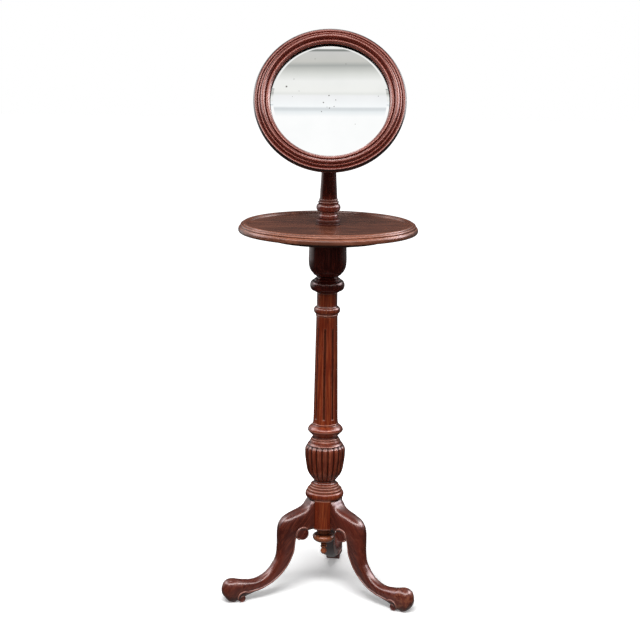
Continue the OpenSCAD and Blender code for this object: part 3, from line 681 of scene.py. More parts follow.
shaft_turns = []
for k in range(FLUTES):
    middle = math.radians(FLUTE_TURN) + 2 * math.pi * k / FLUTES
    shaft_turns += [middle + s / 29 for s in FLUTE_STEPS]
    shaft_turns += [middle + s / 29 for s in (5.5, 8.5, 11.4, 14.3, 17.2)]
end_heights = [0, 0.3, 0.8, 1.5, 2.3, 3.0, 3.6, 5, 12]
plain = [(SHAFT_LOW_R, 66), (SHAFT_TOP_R, SHAFT_H - 62)]
low_curve = curve([(SHAFT_LOW_R + 1.1, 37), (SHAFT_LOW_R + 0.6, 42), (SHAFT_LOW_R + 0.1, 54), (SHAFT_LOW_R, 66)])
flute_rows = sorted(
    {FLUTE_LOW - 0.4}
    | {FLUTE_LOW + h for h in end_heights}
    | {FLUTE_TOP - h for h in end_heights}
    | {FLUTE_LOW + 12 + 24 * i for i in range(9)}
    | {FLUTE_TOP + 0.4}
)
flute_part = [(radius_on(low_curve + plain, z), z) for z in flute_rows]
shaft_outline = join(
    [(0, 0), (SHAFT_LOW_R - 2.6, 0), (SHAFT_LOW_R - 2.6, 1.5)],
    curve([
        (SHAFT_LOW_R - 1, 1.6), (SHAFT_LOW_R + 2, 4), (LOW_RING_R - 7.6, 8.6), (LOW_RING_R - 2.4, 14),
        (LOW_RING_R, 17.6),
    ]),
    curve([(LOW_RING_R, 18.8), (LOW_RING_R - 1.4, 23), (LOW_RING_R - 5.4, 28), (SHAFT_LOW_R + 3.4, 31.8)]),
    [(SHAFT_LOW_R + 2.4, 33), (SHAFT_LOW_R + 2.2, 36)],
    [p for p in low_curve if p[1] < FLUTE_LOW - 1],
    flute_part,
    [(SHAFT_TOP_R, SHAFT_H - 62)],
    bead(SHAFT_TOP_R - 0.3, SHAFT_H - 60.5, SHAFT_H - 55, 1.8),
    bead(TOP_RING_R - 6, SHAFT_H - 54, SHAFT_H - 37, 6),
    [(TOP_NECK_R + 0.4, SHAFT_H - 35), (TOP_NECK_R, SHAFT_H - 32), (TOP_NECK_R, SHAFT_H), (0, SHAFT_H)],
)
turned("fluted_shaft", shaft_outline, SHAFT_Z, PILLAR_WOOD, radius_at=flute_radius, turns=shaft_turns, sharp=35)

# ---- capital, bearer and table

CUP_R, CUP_RING_R = 47.7, 43.6
capital_outline = join(
    [(0, 0), (TOP_NECK_R + 0.5, 0)],
    bead(TOP_NECK_R + 1.2, 1, 4.2, 3.8),
    bead(CUP_RING_R - 9, 4.8, 31.2, 9),
    [(CUP_RING_R - 8.6, 32), (CUP_RING_R - 12.6, 35.6)],
    bead(TOP_NECK_R + 1, 36, 38.6, 1.5),
    curve([(TOP_NECK_R + 1, 39.2), (TOP_NECK_R + 1.4, 41), (CUP_R - 14, 45.4)]),
    [(CUP_R - 12.6, 46.4)],
    curve([
        (CUP_R - 12, 48), (CUP_R - 5.9, 55.2), (CUP_R - 1.5, 66), (CUP_R, 82), (CUP_R - 0.4, 100),
        (CUP_R - 1.2, CAPITAL_H),
    ]),
    [(0, CAPITAL_H)],
)
turned("capital", capital_outline, CAPITAL_Z, CAPITAL_WOOD)

quarter = [math.pi / 2 * (i / 8 - 1) for i in range(9)]
bearer_outline = join(
    [(0, 0), (BEARER_R - 10, 0)],
    [(BEARER_R - 10 + 10 * math.cos(a), 10 + 10 * math.sin(a)) for a in quarter],
    [(BEARER_R, BEARER_T), (0, BEARER_T)],
)
turned("table_bearer", bearer_outline, BEARER_Z, BEARER_WOOD)

FIELD_H = TABLE_T - DISH
table_outline = join(
    [(0, 0)],
    curve([
        (TABLE_R - 11, 0), (TABLE_R - 3.5, 1), (TABLE_R - 0.6, 3.5), (TABLE_R, 7.5), (TABLE_R - 1, 11.5),
        (TABLE_R - 3.5, 15),
    ]),
    curve([(TABLE_R - 5, 15.4), (TABLE_R - 5.2, 18), (TABLE_R - 6.5, 20.5), (TABLE_R - 9, 21.6)]),
    curve([
        (TABLE_R - 10.2, 21.6), (TABLE_R - 12, TABLE_T - 0.8), (TABLE_R - 15.5, TABLE_T), (TABLE_R - 19, TABLE_T - 0.8),
        (TABLE_R - 22.5, FIELD_H + 2.5), (TABLE_R - 24.5, FIELD_H),
    ]),
    [(0, FIELD_H)],
)
turned("tabletop", table_outline, TABLE_Z, TABLE_WOOD, turns=around(WIDE_SIDES))

plinth_outline = [(0, 0), (PLINTH_R, 0), (PLINTH_R, PLINTH_T - 1), (PLINTH_R - 1, PLINTH_T), (0, PLINTH_T)]
# The plinth takes the bearer's dark wood, painted shade on the table.
turned("post_plinth", plinth_outline, FIELD_Z, BEARER_WOOD)

# ---- mirror post

FOOT_R, POST_RING_R, POST_LOW_R, POST_TOP_R, FORK_FLANGE_R = 30.8, 30.2, 21.7, 14.5, 13
post_outline = join(
    [(0, 0.3), (FOOT_R - 1, 0.3), (FOOT_R, 1.2)],
    curve([(FOOT_R, 6), (FOOT_R - 1, 8.8), (FOOT_R - 4, 10)]),
    bead(FOOT_R - 10.3, 10.6, 22.5, 4.2),
    [(POST_LOW_R - 0.8, 23.5)],
    cove(POST_LOW_R - 1, 24.5, POST_LOW_R + 0.8, 27.5),
    bead(POST_RING_R - 8, 28, 48.5, 8),
    bead(POST_LOW_R + 1.5, 49, 54.5, 2.6),
    bead(POST_LOW_R + 0.3, 55.5, 60, 1.5),
    curve([
        (POST_LOW_R, 61.5), (POST_LOW_R - 0.9, 81), (POST_LOW_R - 3.1, 122), (POST_TOP_R + 1.2, POST_H - 58),
        (POST_TOP_R, POST_H - 26),
    ]),
    bead(POST_TOP_R - 0.2, POST_H - 24, POST_H - 18, 2.6),
    cove(POST_TOP_R - 0.4, POST_H - 17, POST_TOP_R + 2, POST_H - 10),
    [(POST_TOP_R + 2, POST_H - 4), (POST_TOP_R + 0.6, POST_H - 1.5), (FORK_FLANGE_R, POST_H), (0, POST_H)],
)
# Its foot takes the plinth's dark wood: painted shade at the foot of the post
lathe(
    "mirror_post_wood", post_outline, at_height(POST_Z), POST_WOOD, "post", ["mirror_post"],
    dark=lambda r, z: int(z < 9.5), second=(BEARER_WOOD,),
)

# ---- legs

# Down the leg: top point, bottom point, half thickness, and squareness above and below. A point is its
# distance out, as a share of the reach, and its height. Heights and thicknesses are mm.
KNEE_Z, ANKLE, TOE = BLOCK_Z + 24, 15.5, 22.5
REACH = TOE_R - FLAT_D
LEG_STATIONS = [
    (0, COLLAR_Z - 0.5, 0, BLOCK_Z, 26, 6, 8),
    (0.030, COLLAR_Z - 6, 0.035, BLOCK_Z - 1, 26, 4.6, 7),
    (0.064, COLLAR_Z - 15.5, 0.075, BLOCK_Z - 3, 26, 3.7, 6),
    (0.123, KNEE_Z + 31, 0.121, BLOCK_Z - 5, 25.5, 3.1, 5),
    (0.235, KNEE_Z + 22.5, 0.165, 165, 24.5, 2.8, 5),
    (0.340, KNEE_Z + 12.5, 0.200, 158, 23.5, 2.6, 5),
    (0.394, KNEE_Z + 1.5, 0.212, 150, 22, 2.5, 5),
    (0.420, KNEE_Z - 12, 0.216, 142, 21, 2.5, 5),
    (0.429, 170, 0.220, 132, 20, 2.5, 5),
    (0.429, 145, 0.228, 118, ANKLE + 3.5, 2.5, 5),
    (0.435, 120, 0.256, 103, ANKLE + 2, 2.5, 5),
    (0.453, 102, 0.289, 88.5, ANKLE + 1, 2.5, 5),
    (0.482, 91, 0.324, 77, ANKLE + 0.5, 2.5, 5),
    (0.526, 77.5, 0.368, 65, ANKLE, 2.5, 5),
    (0.585, 65.5, 0.434, 51.5, ANKLE, 2.5, 5),
    (0.670, 56, 0.515, 38.5, ANKLE + 0.5, 2.5, 4.5),
    (0.752, 52.5, 0.630, 26, ANKLE + 1, 2.5, 4),
    (0.834, 53.5, 0.768, 18, ANKLE + 2.5, 2.7, 3.5),
    (0.911, 56.5, 0.850, 12.5, TOE - 2, 2.5, 3),
    (0.985, 61, 0.910, 7, TOE, 2.4, 2.6),
    (1.052, 60.5, 0.949, 3, TOE, 2.4, 2.5),
    (1.104, 54, 0.977, 1.6, TOE - 1.5, 2.3, 2.3),
    (1.134, 39, 1.0, 1, TOE - 4, 2, 2),
    (1.126, 24, 1.023, 1.2, TOE - 7.5, 2, 2),
    (1.084, 10, 1.042, 1.8, TOE - 13, 2, 2),
]
# Angles of the points round a ring, close together at the two lower corners, where the fillet runs
half_turn = [4 + 5.5 * i for i in range(16)] + [90, 93] + [95 + 1.6 * i for i in range(44)] + [168, 174]
RING_ANGLES = half_turn + [360 - a for a in reversed(half_turn)]
FILLET_W = 2.6


def signed_power(v, e):
    return math.copysign(abs(v) ** e, v)


def leg_ring(station, fillet=1.0):
    """One ring of the leg as (point, crease), a rounded rectangle with a beaded fillet along both lower corners."""
    s0, z0, s1, z1, half_w, above, below = station
    # The fillet stands higher above the lower edge towards the toe
    fillet_angle = 120 - 14 * clamp((s0 - 0.45) / 0.4)
    top, low = Vector((FLAT_D + s0 * REACH, z0)), Vector((FLAT_D + s1 * REACH, z1))
    middle, half = (top + low) / 2, (top - low) / 2

    def corner(angle):
        a = math.radians(angle)
        e = 2 / (above if angle < 90 or angle > 270 else below)
        return Vector((half_w * signed_power(math.sin(a), e), half.length * signed_power(math.cos(a), e)))

    flat = [corner(a) for a in RING_ANGLES]
    ring = []
    count = len(flat)
    for side in (0, 1):
        part = flat[: count // 2] if side == 0 else flat[count // 2 :]
        angles = RING_ANGLES[: count // 2] if side == 0 else [360 - a for a in RING_ANGLES[count // 2 :]]
        along = [0.0]
        for p, q in zip(part, part[1:]):
            along.append(along[-1] + (q - p).length)
        centre_at = 0.0
        for i in range(len(part) - 1):
            share = (fillet_angle - angles[i]) / (angles[i + 1] - angles[i])
            if 0 <= share < 1:
                centre_at = along[i] + share * (along[i + 1] - along[i])
        for i, p in enumerate(part):
            before, after = part[max(i - 1, 0)], part[min(i + 1, len(part) - 1)]
            ahead = (after - before).normalized()
            out = Vector((-ahead.y, ahead.x))
            if out.dot(p) < 0:
                out = -out
            d = abs(along[i] - centre_at)
            lift = crease = 0.0
            # The fillet's crease mark paints a highlight along it, and the quirk beside it gets painted shade.
            if d < FILLET_W:
                lift = 1.6 * math.sqrt(1 - (d / FILLET_W) ** 2)
                crease = 0.35 * lift
            elif d < FILLET_W + 1.6:
                dip = 1 - ((d - FILLET_W - 0.8) / 0.8) ** 2
                lift, crease = -0.45 * dip, -0.5 * dip
            # Below the fillet the wood falls away, and is painted darker there as shade
            under = clamp(((along[i] - centre_at) * (1 if side == 0 else -1) - FILLET_W) / 1.6)
            fade = clamp((166 - angles[i]) / 20)
            lift -= 2.0 * under * fade
            crease -= 0.45 * under
            p = p + out * lift * fillet
            centre = middle + half.normalized() * p.y
            ring.append((Vector((centre.x, p.x, centre.y)) * MM, crease * fillet))
    return ring


VOLUTE_R, CURL_R = 19, 10
VOLUTE_AT = (FLAT_D + 0.143 * REACH, BLOCK_Z + 10.6 - VOLUTE_R)
CURL_AT = (FLAT_D + 0.907 * REACH, 10.5)
# The fillet leaves the lower edge near the toe and winds down round the curl
CURL_FILLET = [
    (203, 22.5), (212, 24), (221, 27.5), (229.5, 28.8), (237.5, 26.3), (242.6, 20.5), (243.6, 12.8), (240.4, 5.8),
    (234.2, 2.6), (227.8, 4.4), (224.6, 9.8), (226.2, 15.2), (231, 17.4), (235.4, 15), (235.8, 11), (232.8, 9.2),
]


def scroll_disc(bm, centre, radius, half_w, rim, sink):
    """A turned-looking scroll seen on both side faces: a raised rim that winds in to a domed middle."""
    outline = [
        (0, half_w - 0.6), (radius * 0.22, half_w - 0.9), (radius * 0.4, half_w - sink * 0.6),
        (radius - rim - 0.9, half_w - sink), (radius - rim, half_w - sink * 0.5), (radius - rim * 0.6, half_w),
        (radius - rim * 0.25, half_w - 0.1), (radius, half_w - rim * 0.6),
    ]
    line = [(r, y) for r, y in curve(outline, 3)]
    line += [(r, -y) for r, y in reversed(line)]
    rings = []
    for r, y in line:
        r = max(r, 0.02)
        ring = [Vector((centre[0] + r * math.cos(a), y, centre[1] + r * math.sin(a))) * MM for a in around(40)]
        rings.append(ring)
    loft(bm, rings)


def mark_all(bm, layer, start, value):
    for v in list(bm.verts)[start:]:
        v[layer] = value


def arc(centre, radius, start, end, steps):
    """Points on an arc in the leg's own plane, angles in degrees from straight out."""
    turns = [math.radians(start + (end - start) * i / steps) for i in range(steps + 1)]
    return [(centre[0] + radius * math.cos(a), centre[1] + radius * math.sin(a)) for a in turns]


# The right toe has been knocked most
TOE_WEAR = {"leg_left": 0.3, "leg_right": 1.0, "leg_back": 0.6}


def leg_mesh(name, turn):
    """A leg with its fillets, scrolls and foot pad, turned round the pillar."""
    bm = bmesh.new()
    mark = bm.verts.layers.float.new("crease")
    wear = bm.verts.layers.float.new("wear")
    smooth_stations = [list(s) for s in curve(LEG_STATIONS, 6)]
    smooth_stations[0][4] -= 0.5
    count = len(smooth_stations)
    rings = []
    for i, station in enumerate(smooth_stations):
        # The fillet fades out behind the volute and under the toe
        share = clamp((i - 26) / 14) * clamp((count - 34 - i) / 10)
        rings.append(leg_ring(station, share))
    made = loft(bm, [[p for p, _ in ring] for ring in rings])
    for k, (verts, ring) in enumerate(zip(made, rings)):
        for v, (_, crease) in zip(verts, ring):
            v[mark] = -0.8 if k < 2 else crease
            v[wear] = TOE_WEAR[name] * clamp((v.co.x / MM - TOE_R + 30) / 22)
            # Painted shade round the curl
            if math.dist((v.co.x / MM, v.co.z / MM), CURL_AT) < CURL_R + 4:
                v[mark] = -0.9
            # The toes are painted darker low down, as shade
            if v.co.x / MM > TOE_R - 75:
                v[mark] -= 0.16 * clamp((34 - v.co.z / MM) / 24)
    bm.normal_update()
    skin = BVHTree.FromBMesh(bm)

    def side_at(r, z, fallback):
        """How far out the leg's side stands at a place in its own plane."""
        hit = skin.ray_cast(Vector((r, 60, z)) * MM, Vector((0, -1, 0)))[0]
        return hit.y / MM if hit else fallback

    scroll_disc(bm, VOLUTE_AT, VOLUTE_R - 3, side_at(*VOLUTE_AT, 24) + 0.5, 2.2, 0.8)
    curl_w = side_at(CURL_AT[0], CURL_AT[1] + 4, ANKLE) + 0.4
    scroll_disc(bm, CURL_AT, CURL_R - 0.6, curl_w, 2.0, 1.8)

    def curl_thickness(i, count):
        return min(2.2, 1.0 + 0.16 * i) if i < 40 else max(1.2, 2.2 - 0.045 * (i - 40))

    def volute_thickness(i, count):
        return 2.9 * min(1.0, 0.45 + i / 8) * min(1.0, 0.3 + (count - i) / 14)

    # The fillet winds round the curl, and over the top of the volute
    lines = [
        (curve(CURL_FILLET, 4), curl_thickness, curl_w - 0.4),
        (arc(VOLUTE_AT, VOLUTE_R - 2.0, -62, 150, 40), volute_thickness, 23),
    ]
    for line, thick, fallback in lines:
        for side in (-1, 1):
            start = len(bm.verts)
            path, outer = [], fallback
            for r, z in line:
                outer = side_at(r, z, outer)
                path.append(Vector((r, side * (outer - 0.5), z)))
            for _ in range(2):
                evened = [Vector((b.x, (a.y + b.y + c.y) / 3, b.z)) for a, b, c in zip(path, path[1:], path[2:])]
                path = [path[0]] + evened + [path[-1]]
            tube(bm, path, [thick(i, len(path)) for i in range(len(path))], 12)
            bm.verts.ensure_lookup_table()
            # The fillet and rim tubes are marked as crests, for a painted highlight along them
            mark_all(bm, mark, start, 0.4)
    rings = []
    for r, z in ((0.01, 0), (6.6, 0), (7, 0.5), (7, 8)):
        rings.append([Vector((TOE_R - 2 + r * math.cos(a), r * math.sin(a), z)) * MM for a in around(32)])
    loft(bm, rings)
    matrix = at_height(0) @ Matrix.Rotation(math.radians(turn), 4, "Z")
    return finish_mesh(name + "_wood", bm, matrix, LEG_WOOD, "stand", [name], sharp=50)


for leg_name, leg_turn in LEG_ANGLES.items():
    leg_mesh(leg_name, leg_turn)

# ---- mirror frame, glass and back

GLASS_FRONT = FRAME_N - 3.5
frame_front = join(
    curve([(FRAME_R, 0), (FRAME_R - 1, 2.6), (FRAME_R - 4, 4.6), (FRAME_R - 7.2, 4.6), (FRAME_R - 11.1, 2.2)]),
    curve([(FRAME_R - 11.1, 2.2), (FRAME_R - 12, 6), (FRAME_R - 14.2, 8.2), (FRAME_R - 16.9, 6.6)]),
    curve([
        (FRAME_R - 16.9, 6.6), (FRAME_R - 18.4, 10.6), (FRAME_R - 22, 13), (FRAME_R - 25.6, 11.6),
        (FRAME_R - 28.4, 8), (FRAME_R - 30, 4.8),
    ]),
    curve([
        (FRAME_R - 30, 4.8), (FRAME_R - 31.6, 7.4), (FRAME_R - 34.2, 8), (FRAME_R - 36.6, 6.8), (SIGHT_R + 2.6, 4.6),
    ]),
    [(SIGHT_R, 2)],
)
frame_outline = join(
    frame_front,
    [(SIGHT_R, -3.5), (GLASS_R + 0.2, -3.5), (GLASS_R + 0.2, BOARD_FRONT - FRAME_N)],
    [(BOARD_R + 0.2, BOARD_FRONT - FRAME_N), (BOARD_R + 0.2, BOARD_BACK - 0.5 - FRAME_N)],
    [(FRAME_R - 9.5, BOARD_BACK - 0.5 - FRAME_N), (FRAME_R - 8.5, -14)],
    curve([(FRAME_R - 7.5, -13.4), (FRAME_R - 3, -12.2), (FRAME_R - 0.6, -9), (FRAME_R, -4.5)]),
)


def frame_edge(r, n):
    """1 on the frame's outer edge and its back, 2 on the dull wall round the glass, 0 on its polished front."""
    if SIGHT_R - 1 < r < SIGHT_R + 0.8 and FRAME_N - 4 < n < FRAME_N + 2.2:
        return 2
    return 1 if r > FRAME_R - 3.7 or n < FRAME_N - 1.5 else 0


frame_turns = around(WIDE_SIDES)
lathe(
    "mirror_frame_wood", [(r, n + FRAME_N) for r, n in frame_outline], MIRROR_SPACE, FRAME_WOOD, "mirror",
    ["mirror_frame"], turns=frame_turns, closed=True, dark=frame_edge, second=(EDGE_WOOD, SIGHT_WOOD),
)

BEVEL_W = 8
glass_outline = [
    (0, GLASS_FRONT - GLASS_T), (GLASS_R, GLASS_FRONT - GLASS_T), (GLASS_R, GLASS_FRONT - 1.6),
    (SIGHT_R - BEVEL_W, GLASS_FRONT), (0, GLASS_FRONT),
]
lathe(
    "mirror_plate", glass_outline, MIRROR_SPACE, MIRROR, "mirror", ["mirror_glass"],
    turns=frame_turns, soft=0, sharp=1,
)

board_outline = [
    (0, BOARD_BACK), (BOARD_R - 1, BOARD_BACK), (BOARD_R, BOARD_BACK + 1), (BOARD_R, BOARD_FRONT), (0, BOARD_FRONT),
]
lathe("backboard_pine", board_outline, MIRROR_SPACE, PINE, "mirror", ["backboard"])

# ---- brass


def screw_heads(name, places, matrix, body, node, head_r):
    """Countersunk heads with a sawn slot each, flush with the surface at local z = 0."""
    bm = bmesh.new()
    rng = random.Random(name)
    slot_w, slot_d = head_r * 0.14, head_r * 0.28
    for x, y in places:
        turn = rng.uniform(0, math.pi)
        for side in (0, math.pi):
            start = math.asin(slot_w / head_r)
            edge = [start + (math.pi - 2 * start) * i / 14 for i in range(15)]
            rings = []
            for r, z in ((head_r - 0.25, 0.0), (head_r, -0.12), (head_r * 0.72, -head_r * 0.3)):
                ring = []
                for a in edge:
                    px, py = r * math.cos(a), max(slot_w, r * math.sin(a))
                    c, s = math.cos(turn + side), math.sin(turn + side)
                    ring.append(Vector((x + px * c - py * s, y + px * s + py * c, z)) * MM)
                rings.append(ring)
            loft(bm, list(reversed(rings)))
        floor_r = head_r - 0.4
        floor = [(x + floor_r * math.cos(turn + a), y + floor_r * math.sin(turn + a), -slot_d) for a in around(16)]
        bm.faces.new([bm.verts.new(Vector(corner) * MM) for corner in floor])
    return finish_mesh(name, bm, matrix, BRASS, body, [node], 30)


def ring_places(count, r, turn):
    angles = [math.radians(turn + 360 * i / count) for i in range(count)]
    return [(r * math.cos(a), r * math.sin(a)) for a in angles]


UPSIDE_DOWN = Matrix.Rotation(math.pi, 4, "X")
back_face = MIRROR_SPACE @ Matrix.Translation((0, 0, BOARD_BACK * MM)) @ UPSIDE_DOWN
plate_face = MIRROR_SPACE @ Matrix.Translation((0, 0, (BOARD_BACK - PLATE_T) * MM)) @ UPSIDE_DOWN
for screws, count, ring_r, first, face, body, head_r in (
    ("bearer_screw", 6, BEARER_R - 32, 30, at_height(BEARER_Z) @ UPSIDE_DOWN, "stand", 4.4),
    ("backboard_screw", 6, GLASS_R + 7, 0, back_face, "mirror", 3.2),
    ("tongue_screw", 4, PLATE_R - 8, 45, plate_face, "mirror", 4.4),
):
    places = [(x, -y) for x, y in ring_places(count, ring_r, first)]
    screw_heads(screws + "_heads", places, face, body, screws + "s", head_r)

for paint, node_names in (
    (BRASS, ("tilt_fork", "pivot_bolt", "clamp_nut", "tilt_tongue", "capital_screws")),
    (LEATHER, ("leather_washers",)),
    (PINE, ("glazing_blocks",)),
):
    for node_name in node_names:
        node_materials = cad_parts[node_name].data.materials
        node_materials.clear()
        node_materials.append(paint)

# ---- studio


def stage_piece(name, points, faces, paint, glossy_only=False):
    """A piece of the set. With glossy_only just shiny surfaces see it."""
    mesh = bpy.data.meshes.new(name)
    mesh.from_pydata(points, [], faces)
    mesh.materials.append(paint)
    piece = bpy.data.objects.new(name, mesh)
    bpy.context.scene.collection.objects.link(piece)
    if glossy_only:
        piece.visible_camera = piece.visible_diffuse = piece.visible_shadow = piece.visible_transmission = False
    return piece


def sheet(name, half_x, half_y, paint, glossy_only=False):
    """A flat piece of the set, round its own origin."""
    corners = [(-half_x, -half_y, 0), (half_x, -half_y, 0), (half_x, half_y, 0), (-half_x, half_y, 0)]
    return stage_piece(name, corners, [(0, 1, 2, 3)], paint, glossy_only)


def studio_floor():
    """A white floor that bounces a little light back up, and takes the stand's shadow."""
    n = Nodes("studio_floor_paint", "none")
    rays = n.add("ShaderNodeLightPath")
    shiny = n.math("MAXIMUM", rays.outputs["Is Glossy Ray"], rays.outputs["Is Transmission Ray"])
    seen = n.math("MAXIMUM", rays.outputs["Is Camera Ray"], shiny)
    place = n.own_place()
    away = n.vector("DISTANCE", place, PILLAR * MM)
    # Away from the stand's shadow the floor shines as white as the backdrop
    far = n.times(n.steps(away, 0.28, 1.1), seen)
    n.set(Base_Color=n.mix(n.math("MAXIMUM", far, n.times(seen, 0.96)), srgb("#727272"), srgb("#ffffff")))
    shining = n.times(seen, n.steps(away, 0.2, 1.0, 0.25, 1.0))
    n.set(Roughness=0.9, Specular_IOR_Level=0.0, Emission_Color=srgb("#ffffff"), Emission_Strength=shining)
    sheet("studio_floor", 14, 14, n.material)


def glow(name, colour, strength):
    """A paint that only shines, and reflects nothing."""
    n = Nodes(name, "none")
    n.set(Base_Color=(0, 0, 0, 1), Roughness=1.0, Specular_IOR_Level=0.0)
    n.set(Emission_Color=colour, Emission_Strength=strength)
    return n


LOW_GLOW, HIGH_GLOW = 0.9, 1.2


def studio_room():
    """The room round the set. Polish shows it dim, with paler places towards the back.
    A clear mirror shows it as white as the backdrop."""
    n = glow("studio_room_paint", srgb("#ffffff"), 1.0)
    place = n.own_place()
    apart = n.add("ShaderNodeSeparateXYZ", {0: place})
    x, y, z = apart.outputs
    flat = n.vector("MULTIPLY", place, (1, 1, 0))
    out = n.vector("DISTANCE", flat, PILLAR * MM)
    dim = n.plus(n.steps(z, 1.9, 3.6, 0.0, 0.2), n.steps(y, 0.5, 2.4, 0.02, 0.07))
    window = n.times(n.steps(n.math("ABSOLUTE", x), 1.3, 2.2), n.steps(y, -0.2, 0.8))
    low = n.times(n.steps(x, -0.6, 0.6, LOW_GLOW, 0.12), n.steps(z, 0.12, 0.35, 0.1, 1.0))
    tall = n.steps(z, 1.5, 2.0, 0.0, HIGH_GLOW)
    dim = n.plus(dim, n.times(window, n.math("MAXIMUM", low, tall)))
    # The white floor shows a little round the feet
    near_feet = n.times(n.steps(out, 0.15, 0.45, 0.25, 0.0), n.steps(z, 0.0, 0.5, 1.0, 0.0))
    dim = n.plus(dim, near_feet)
    mirrored = n.add("ShaderNodeLightPath").outputs["Is Singular Ray"]
    n.set(Emission_Strength=n.plus(n.times(dim, n.math("SUBTRACT", 1.0, mirrored)), mirrored))
    count, radius = 48, 3.4
    points, faces = [], []
    for r, z in ((0.0, 0.004), (radius, 0.005), (radius, 3.6), (0.0, 4.2)):
        points += [(PILLAR.x * MM + r * math.cos(a), PILLAR.y * MM + r * math.sin(a), z) for a in around(count)]
    for j in range(3):
        for i in range(count):
            k = (i + 1) % count
            faces.append((j * count + i, j * count + k, (j + 1) * count + k, (j + 1) * count + i))
    stage_piece("studio_room", points, faces, n.material, glossy_only=True)


# What the tilted mirror shows, as mm down the panel and a colour. These 18 colours and distances should be
# taken as read off the photo's own reflection. report.md names that as a rule that isn't met.
ROOM_PICTURE = [
    (-212, "#f2f2f0"), (-199, "#f4f4f2"), (-196, "#888a88"), (-191, "#858885"), (-187, "#cdccca"), (-152, "#cbcac5"),
    (-137, "#acaeab"), (-128, "#c0c1bd"), (-106, "#dcddd9"), (-80, "#f2f2f0"), (-44, "#f2f2ef"), (-34, "#e8e9e6"),
    (-27, "#f2f2f3"), (12, "#fafcfd"), (19, "#d8dcdf"), (26, "#dee2e4"), (31, "#ecf0f2"), (50, "#ffffff"),
]


# The stripes lie a little askew. The panel is square to the ray that the middle of the mirror sends on
# from the camera, 2.2 m away.
PANEL_LEAN = 0.0127
PANEL_AT, PANEL_DOWN = (9.3, -1472.5, 2941.4), (0, -0.7609, -0.6489)


def ceiling_picture():
    """A panel of ceiling, wall and blind over the camera, which the mirror reflects towards it."""
    n = glow("ceiling_picture_paint", srgb("#ffffff"), 1.0)
    apart = n.add("ShaderNodeSeparateXYZ", {0: n.own_place()})
    low, high = -0.3, 0.1
    leaning = n.plus(apart.outputs[1], n.times(apart.outputs[0], PANEL_LEAN))
    share = n.add("ShaderNodeMapRange", {"Value": leaning, "From Min": low, "From Max": high}).outputs[0]
    ramp = n.add("ShaderNodeValToRGB", {0: share})
    stops = ramp.color_ramp.elements
    stops[0].position, stops[1].position = 0.0, 1.0
    stops[0].color, stops[1].color = srgb(ROOM_PICTURE[0][1]), srgb(ROOM_PICTURE[-1][1])
    for y, colour in ROOM_PICTURE:
        stops.new((y * MM - low) / (high - low)).color = srgb(colour)
    n.set(Emission_Color=ramp.outputs[0])
    # Only a clear mirror sees it
    mirrored = n.add("ShaderNodeLightPath").outputs["Is Singular Ray"]
    unseen = n.add("ShaderNodeBsdfTransparent").outputs[0]
    clear = n.add("ShaderNodeMixShader", {0: mirrored, 1: unseen, 2: n.shader.outputs[0]})
    output = next(node for node in n.tree.nodes if node.type == "OUTPUT_MATERIAL")
    n.tree.links.new(clear.outputs[0], output.inputs[0])
    piece = sheet("ceiling_picture", 1.5, 1.0, n.material, glossy_only=True)
    place = PILLAR + Vector(PANEL_AT)
    across, down = Vector((1, 0, 0)), Vector(PANEL_DOWN)
    turn = Matrix((across, down, across.cross(down))).transposed().to_4x4()
    piece.matrix_world = Matrix.Translation(place * MM) @ turn


# How bright the white world is for what it lights, beside 1 where it's seen
WORLD_LIGHT = 0.2


def studio_world():
    """White wherever it's seen, and dimmer for what it lights."""
    world = bpy.data.worlds.new("studio_world")
    bpy.context.scene.world = world
    world.use_nodes = True
    tree = world.node_tree
    tree.nodes.clear()
    rays = add_node(tree, "ShaderNodeLightPath").outputs
    seen = add_node(tree, "ShaderNodeMath", {0: rays["Is Camera Ray"], 1: rays["Is Glossy Ray"]}, operation="MAXIMUM")
    both = {0: seen.outputs[0], 1: rays["Is Transmission Ray"]}
    seen = add_node(tree, "ShaderNodeMath", both, operation="MAXIMUM")
    strength = add_node(tree, "ShaderNodeMapRange", {"Value": seen.outputs[0], "To Min": WORLD_LIGHT, "To Max": 1.0})
    background = add_node(tree, "ShaderNodeBackground", {"Color": (1, 1, 1, 1), "Strength": strength.outputs[0]})
    add_node(tree, "ShaderNodeOutputWorld", {0: background.outputs[0]})


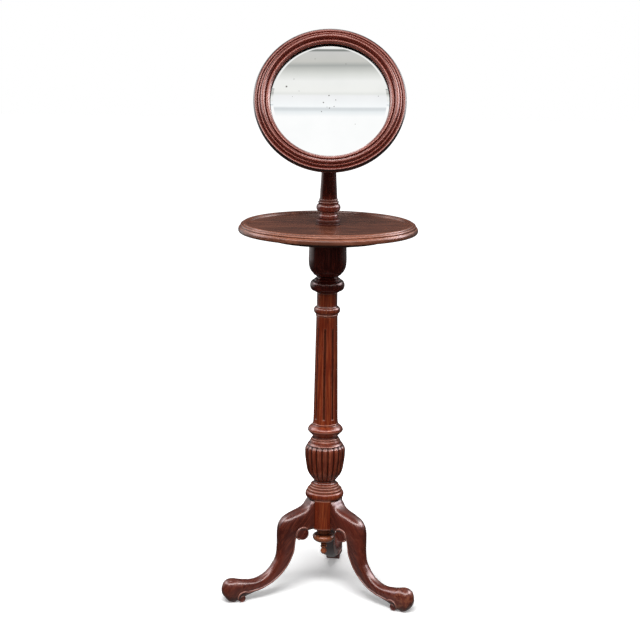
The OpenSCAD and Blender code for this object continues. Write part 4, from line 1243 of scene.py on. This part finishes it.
def softbox(name, place, aim, size, power, polish=None, colour="#ffffff"):
    """A soft lamp. With polish True it only shows in shiny surfaces, with False in none of them, and with
    None it does both."""
    lamp = bpy.data.lights.new(name, "AREA")
    lamp.shape = "RECTANGLE"
    lamp.size, lamp.size_y = size
    lamp.energy = power
    lamp.color = srgb(colour)[:3]
    lamp_object = bpy.data.objects.new(name, lamp)
    bpy.context.scene.collection.objects.link(lamp_object)
    lamp_object.location = place
    lamp_object.rotation_euler = (Vector(aim) - Vector(place)).to_track_quat("-Z", "Y").to_euler()
    if polish is not None:
        lamp_object.visible_glossy = polish
        lamp_object.visible_diffuse = not polish


def light_band():
    """Reflectors side by side round the front, 30 to 47 degrees up, whose shine runs along every bead.
    Glow is in W/sr/m2, and each reflector covers 50 degrees."""
    out, rise, width, height, aim_z = 2.9, 2.35, 2.75, 1.1, 0.9
    for index, (turn, glow_at) in enumerate([(-100, 3), (-50, 7), (0, 8), (50, 8), (100, 6)]):
        a = math.radians(turn)
        place = (out * math.sin(a), -out * math.cos(a), aim_z + rise)
        power = glow_at * math.pi * width * height
        softbox(f"reflector_{index + 1}", place, (0, 0, aim_z), (width, height), power, True)


studio_floor()
studio_room()
ceiling_picture()
studio_world()
softbox("softbox_wide", (-0.15, -2.32, 3.18), (0, 0, 0.8), (2.2, 1.2), 142, False)
softbox("softbox_top", (-0.1, 0.2, 3.2), (0, 0, 0.9), (1.2, 0.6), 18)
softbox("softbox_fill", (0.3, -3.2, 1.5), (0, 0, 0.5), (1.2, 0.8), 4, False)
light_band()
softbox("window_right", (3.1, 0.6, 2.2), (0, 0, 1.2), (2.4, 1.3), 80, True, "#faf2fb")
softbox("window_left", (-3.1, 0.6, 2.2), (0, 0, 1.2), (2.4, 1.3), 45, True, "#faf2fb")

scene = bpy.context.scene
scene.view_settings.view_transform = "Standard"

# The camera, fitted to the photograph: 4.2 m in front of the pillar, a little above the mirror
CAMERA_X, CAMERA_Y, CAMERA_Z = -17.4, -4200, 1591.6
CAMERA_DOWN, CAMERA_ROLL, LENS = 11.757, 0.013, 95.37
camera = bpy.data.cameras.new("photo_camera")
camera.lens, camera.sensor_width = LENS, 36
camera_object = bpy.data.objects.new("photo_camera", camera)
scene.collection.objects.link(camera_object)
camera_object.matrix_world = (
    Matrix.Translation((PILLAR + Vector((CAMERA_X, CAMERA_Y, CAMERA_Z))) * MM)
    @ Matrix.Rotation(math.radians(90 - CAMERA_DOWN), 4, "X")
    @ Matrix.Rotation(CAMERA_ROLL, 4, "Z")
)
scene.camera = camera_object
